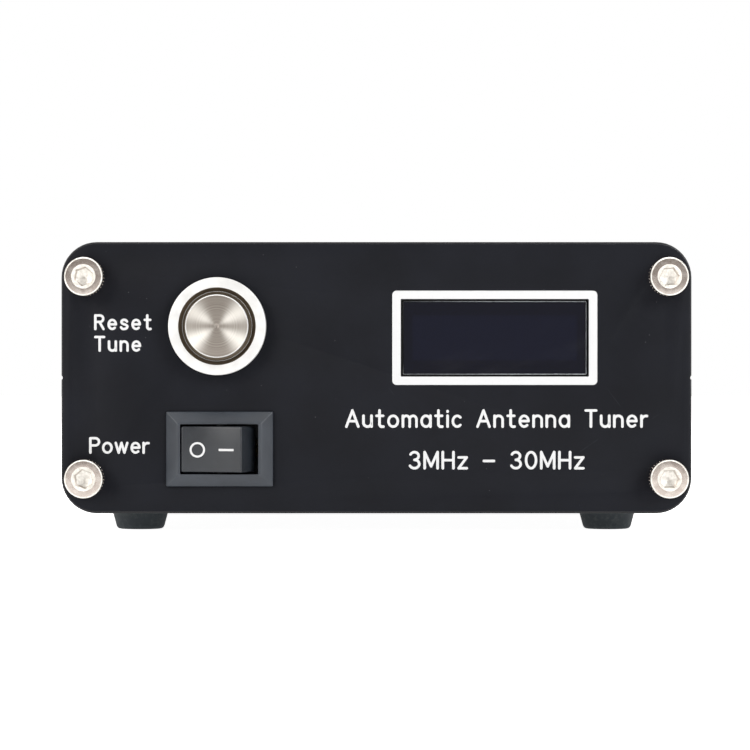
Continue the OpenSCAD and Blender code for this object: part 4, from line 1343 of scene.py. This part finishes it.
def make_rocker():
    count = 36
    face = [(-FACE_HALF + 2 * FACE_HALF * k / count) for k in range(count + 1)]
    outline = [(u, dish(u)) for u in face] + [(FOOT_HALF, FOOT_V), (-FOOT_HALF, FOOT_V)]
    body = bevelled(block(outline, -ROCKER_H / 2, ROCKER_H / 2, at_rocker), 0.22, 4, 50)
    spindle = turned([(0, -4.1), (0.9, -4.1, 0.1), (0.9, 4.1, 0.1), (0, 4.1)],
                     at_rocker(0, 0, 0), 40, "Z")
    guide = rocker_peg(1.5, 0.6, -3.2)
    cut(guide, rocker_peg(1.1, -1.2, -4.0))
    done(joined([body, spindle, guide]), "rocker")
    ring = [circle_outline(RING_U, MARK_Z, radius) for radius in (1.08, 0.80)]
    mark_on_rocker("rocker_ring_mark", *ring)
    half_u, half_z = 1.12, 0.16
    corners = [(-half_u, -half_z, 0.1), (half_u, -half_z, 0.1), (half_u, half_z, 0.1),
               (-half_u, half_z, 0.1)]
    mark_on_rocker("rocker_bar_mark", [(BAR_U + a, MARK_Z + b) for a, b in eased(corners)])


class TUNER_OT_switch(TunerOperator, bpy.types.Operator):
    """The rocker switch with its bezel, rocker, marks and contacts"""

    bl_idname = "tuner.switch"
    bl_label = "Rocker switch"

    def make(self):
        make_bezel()
        make_rocker()
        remade_all(switch_lever=0.06, switch_terminals=0.08, rocker_plunger=0.03)
        remade("plunger_spring", levels=1)


class TUNER_OT_display(TunerOperator, bpy.types.Operator):
    """The display's glass, tape, board, header and leads"""

    bl_idname = "tuner.display"
    bl_label = "Display"

    def make(self):
        lip = 0.1
        profile = [(0.0, PLATE_FRONT), (0.0, GLASS_FRONT + lip), (lip, GLASS_FRONT)]
        width, height = WINDOW_W - 2 * GLASS_GAP, WINDOW_H - 2 * GLASS_GAP
        front = stepped(width, height, 0.15, profile, WINDOW)
        back = stepped(PLATE_W, PLATE_H, 0.2, [(0.0, PLATE_FRONT + 0.001), (0.0, GLASS_BACK)], WINDOW)
        glass = done(joined([front, back]), "display_glass")
        second_finish(glass, "ground_edge_painted_glint",
                      lambda c, n: c.y < FRONT_Y + GLASS_FRONT + lip and abs(n.y) < 0.95)
        remade_all(display_tape=0.0, display_board=0.08, display_header=0.05)
        remade("display_leads", levels=1)


def make_shell(side, centre):
    flange = stepped(SOCKET_FLANGE, SOCKET_FLANGE, 2.0, eased([
        (0.0, 0.0, 0.0), (0.0, SOCKET_FLANGE_T, 0.22), (2.0, SOCKET_FLANGE_T, 0.0)]), centre)
    holes = [hole_bar(1.65, centre + Vector((dx, 0, dz)), 40) for dx, dz in SCREW_PLACES]
    cut(flange, hole_bar(7.0, centre, 64), *holes)
    thread = ridged(SOCKET_THREAD_R, 0.42, SOCKET_FLANGE_T + 1.2, SOCKET_L - 0.5,
                    sizes().thread_pitch / MM)
    profile = [(SOCKET_BACK_R, SOCKET_BACK, 0.2), (SOCKET_BACK_R, 0.0), (7.2, 0.0),
               (7.2, SOCKET_FLANGE_T - 0.2), (SOCKET_THREAD_R, SOCKET_FLANGE_T - 0.2),
               (SOCKET_THREAD_R, SOCKET_FLANGE_T + 0.6, 0.1),
               (SOCKET_THREAD_R - 0.42, SOCKET_FLANGE_T + 0.9)] + thread
    profile += [(SOCKET_THREAD_R - 0.5, SOCKET_L, 0.12), (SOCKET_BORE_R, SOCKET_L, 0.15),
                (SOCKET_BORE_R, SOCKET_BACK, 0.1)]
    shell = turned(profile, centre, 96)
    for turn in (45, 135):
        cut(shell, notch_bar(centre, turn))
    done(joined([flange, shell]), side + "_socket")


def hole_bar(radius, centre, steps):
    """A round bar that cuts a hole through a socket's flange."""
    return turned([(0, -1), (radius, -1), (radius, 3), (0, 3)], centre, steps)


def make_insulator(side, centre):
    r, face = SOCKET_BORE_R - 0.03, INSULATOR_FACE
    body = turned([
        (2.9, face, 0.1), (3.9, face), (4.1, face - 0.25, 0.1), (5.3, face - 0.25, 0.1),
        (5.5, face), (r, face, 0.2), (r, SOCKET_BACK), (2.0, SOCKET_BACK), (2.0, 0), (2.9, 0)],
        centre, 80)
    done(body, side + "_insulator")


def make_contact(side, centre):
    face, floor = INSULATOR_FACE, INSULATOR_FACE - CONTACT_DEPTH
    body = turned([
        (0, floor), (CONTACT_BORE_R, floor), (CONTACT_BORE_R, face, 0.2), (CONTACT_R, face, 0.15),
        (CONTACT_R, 0.03), (1.97, 0.03), (1.97, CUP_END, 0.1), (1.2, CUP_END, 0.1),
        (1.2, CUP_END + 4), (0, CUP_END + 4)], centre, 64)
    done(body, side + "_contact")


def make_socket_screws():
    back, face = SOCKET_FLANGE_T, SOCKET_FLANGE_T + 2.0
    profile = [(0, face), (1.5, face, 0.3), (HEAD_R, face - 0.9, 0.6), (HEAD_R, back, 0.05),
               (SHANK_R, back)]
    profile += ridged(SHANK_R, THREAD_DEPTH, back - 0.2, back - 6.0, THREAD_PITCH)
    profile += [(SHANK_R - 0.3, back - 6.5), (0, back - 6.5)]
    model = turned(profile, (0, 0, 0), 64)
    for w, d in ((1.5, 0.35), (0.35, 1.5)):
        cut(model, lofted([
            [(sx * s * w, y, sz * s * d) for sx, sz in ((1, 1), (-1, 1), (-1, -1), (1, -1))]
            for s, y in ((0.55, face - 1.0), (1.0, face + 0.2))]))
    places = [(centre.x + dx, REAR_Y, MID_Z + dz) for centre in SOCKETS.values()
              for dx, dz in SCREW_PLACES]
    done(repeated(model, places), "socket_screws")


class TUNER_OT_sockets(TunerOperator, bpy.types.Operator):
    """The two coaxial sockets with their insulators, contacts, screws and nuts"""

    bl_idname = "tuner.sockets"
    bl_label = "Coaxial sockets"

    def make(self):
        for side, centre in SOCKETS.items():
            make_shell(side, centre)
            make_insulator(side, centre)
            make_contact(side, centre)
        make_socket_screws()
        remade("socket_nuts", 0.12)


def notch_bar(centre, turn):
    """A bar across a socket's rim that cuts two opposite notches."""
    c, s = math.cos(math.radians(turn)), math.sin(math.radians(turn))
    outline = [(-9.0, -1.0), (9.0, -1.0), (9.0, 1.0), (-9.0, 1.0)]
    return block(outline, SOCKET_L - 1.4, SOCKET_L + 1, lambda a, b, y: (
        centre[0] + a * c - b * s, centre[1] + y, centre[2] + a * s + b * c))


class TUNER_OT_jack(TunerOperator, bpy.types.Operator):
    """The power jack with its pin, base and nut"""

    bl_idname = "tuner.jack"
    bl_label = "Power jack"

    def make(self):
        profile = [(5.5, 0, 0.05), (5.5, 2.0, 0.4), (2.85, 2.0, 0.25), (2.85, -11.0), (3.75, -11.0)]
        profile += ridged(4.0, 0.25, -10.8, -0.6, 0.75) + [(4.0, -0.4), (4.0, 0)]
        done(turned(profile, JACK, 96), "jack_body")
        remade_all(jack_pin=0.08, jack_base=0.1, jack_nut=0.2)


class TUNER_OT_board(TunerOperator, bpy.types.Operator):
    """The main board and what is soldered to it"""

    bl_idname = "tuner.board"
    bl_label = "Main board"

    def make(self):
        remade_all(
            main_board=0.08, capacitor_relays=0.45, inductor_relays=0.45, toroid_cores=0.2,
            coupler_cores=0.2, microcontroller=0.12, relay_drivers=0.08, voltage_regulator=0.15,
            filter_capacitors=0.1, tuning_capacitors=0.1, board_headers=0.06)


class TUNER_OT_coils(TunerOperator, bpy.types.Operator):
    """The windings of the toroids, couplers and air coils"""

    bl_idname = "tuner.coils"
    bl_label = "Windings"

    def make(self):
        remade_all(levels=1, toroid_windings=0, air_coils=0, coupler_windings=0)


class TUNER_OT_leads(TunerOperator, bpy.types.Operator):
    """The leads between the board and the panels"""

    bl_idname = "tuner.leads"
    bl_label = "Leads"

    def make(self):
        remade_all(levels=1, button_leads=0, switch_leads=0, power_leads=0, antenna_lead=0,
                   radio_lead=0)


OPERATORS = (
    TUNER_OT_stage, TUNER_OT_case, TUNER_OT_panels, TUNER_OT_screws, TUNER_OT_feet, TUNER_OT_legends,
    TUNER_OT_button, TUNER_OT_switch, TUNER_OT_display, TUNER_OT_sockets, TUNER_OT_jack,
    TUNER_OT_board, TUNER_OT_coils, TUNER_OT_leads,
)


class TUNER_PT_panel(bpy.types.Panel):
    """Lists the tuner's pieces and settings"""

    bl_idname = "TUNER_PT_panel"
    bl_label = "Antenna tuner"
    bl_space_type = "VIEW_3D"
    bl_region_type = "UI"
    bl_category = "Tuner"

    def draw(self, context):
        settings = context.scene.tuner
        for group in (settings.sizes, settings.colours):
            for key in group.bl_rna.properties.keys():
                if key not in ("rna_type", "name"):
                    self.layout.prop(group, key)
        for operator in OPERATORS:
            self.layout.operator(operator.bl_idname)


CLASSES = (TunerSizes, TunerColours, TunerSettings, *OPERATORS, TUNER_PT_panel)


def register():
    for cls in CLASSES:
        bpy.utils.register_class(cls)
    bpy.types.Scene.tuner = PointerProperty(type=TunerSettings)


def unregister():
    del bpy.types.Scene.tuner
    for cls in reversed(CLASSES):
        bpy.utils.unregister_class(cls)


def main():
    """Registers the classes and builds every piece."""
    register()
    for operator in OPERATORS:
        group, name = operator.bl_idname.split(".")
        getattr(getattr(bpy.ops, group), name)()


if __name__ == "__main__":
    main()
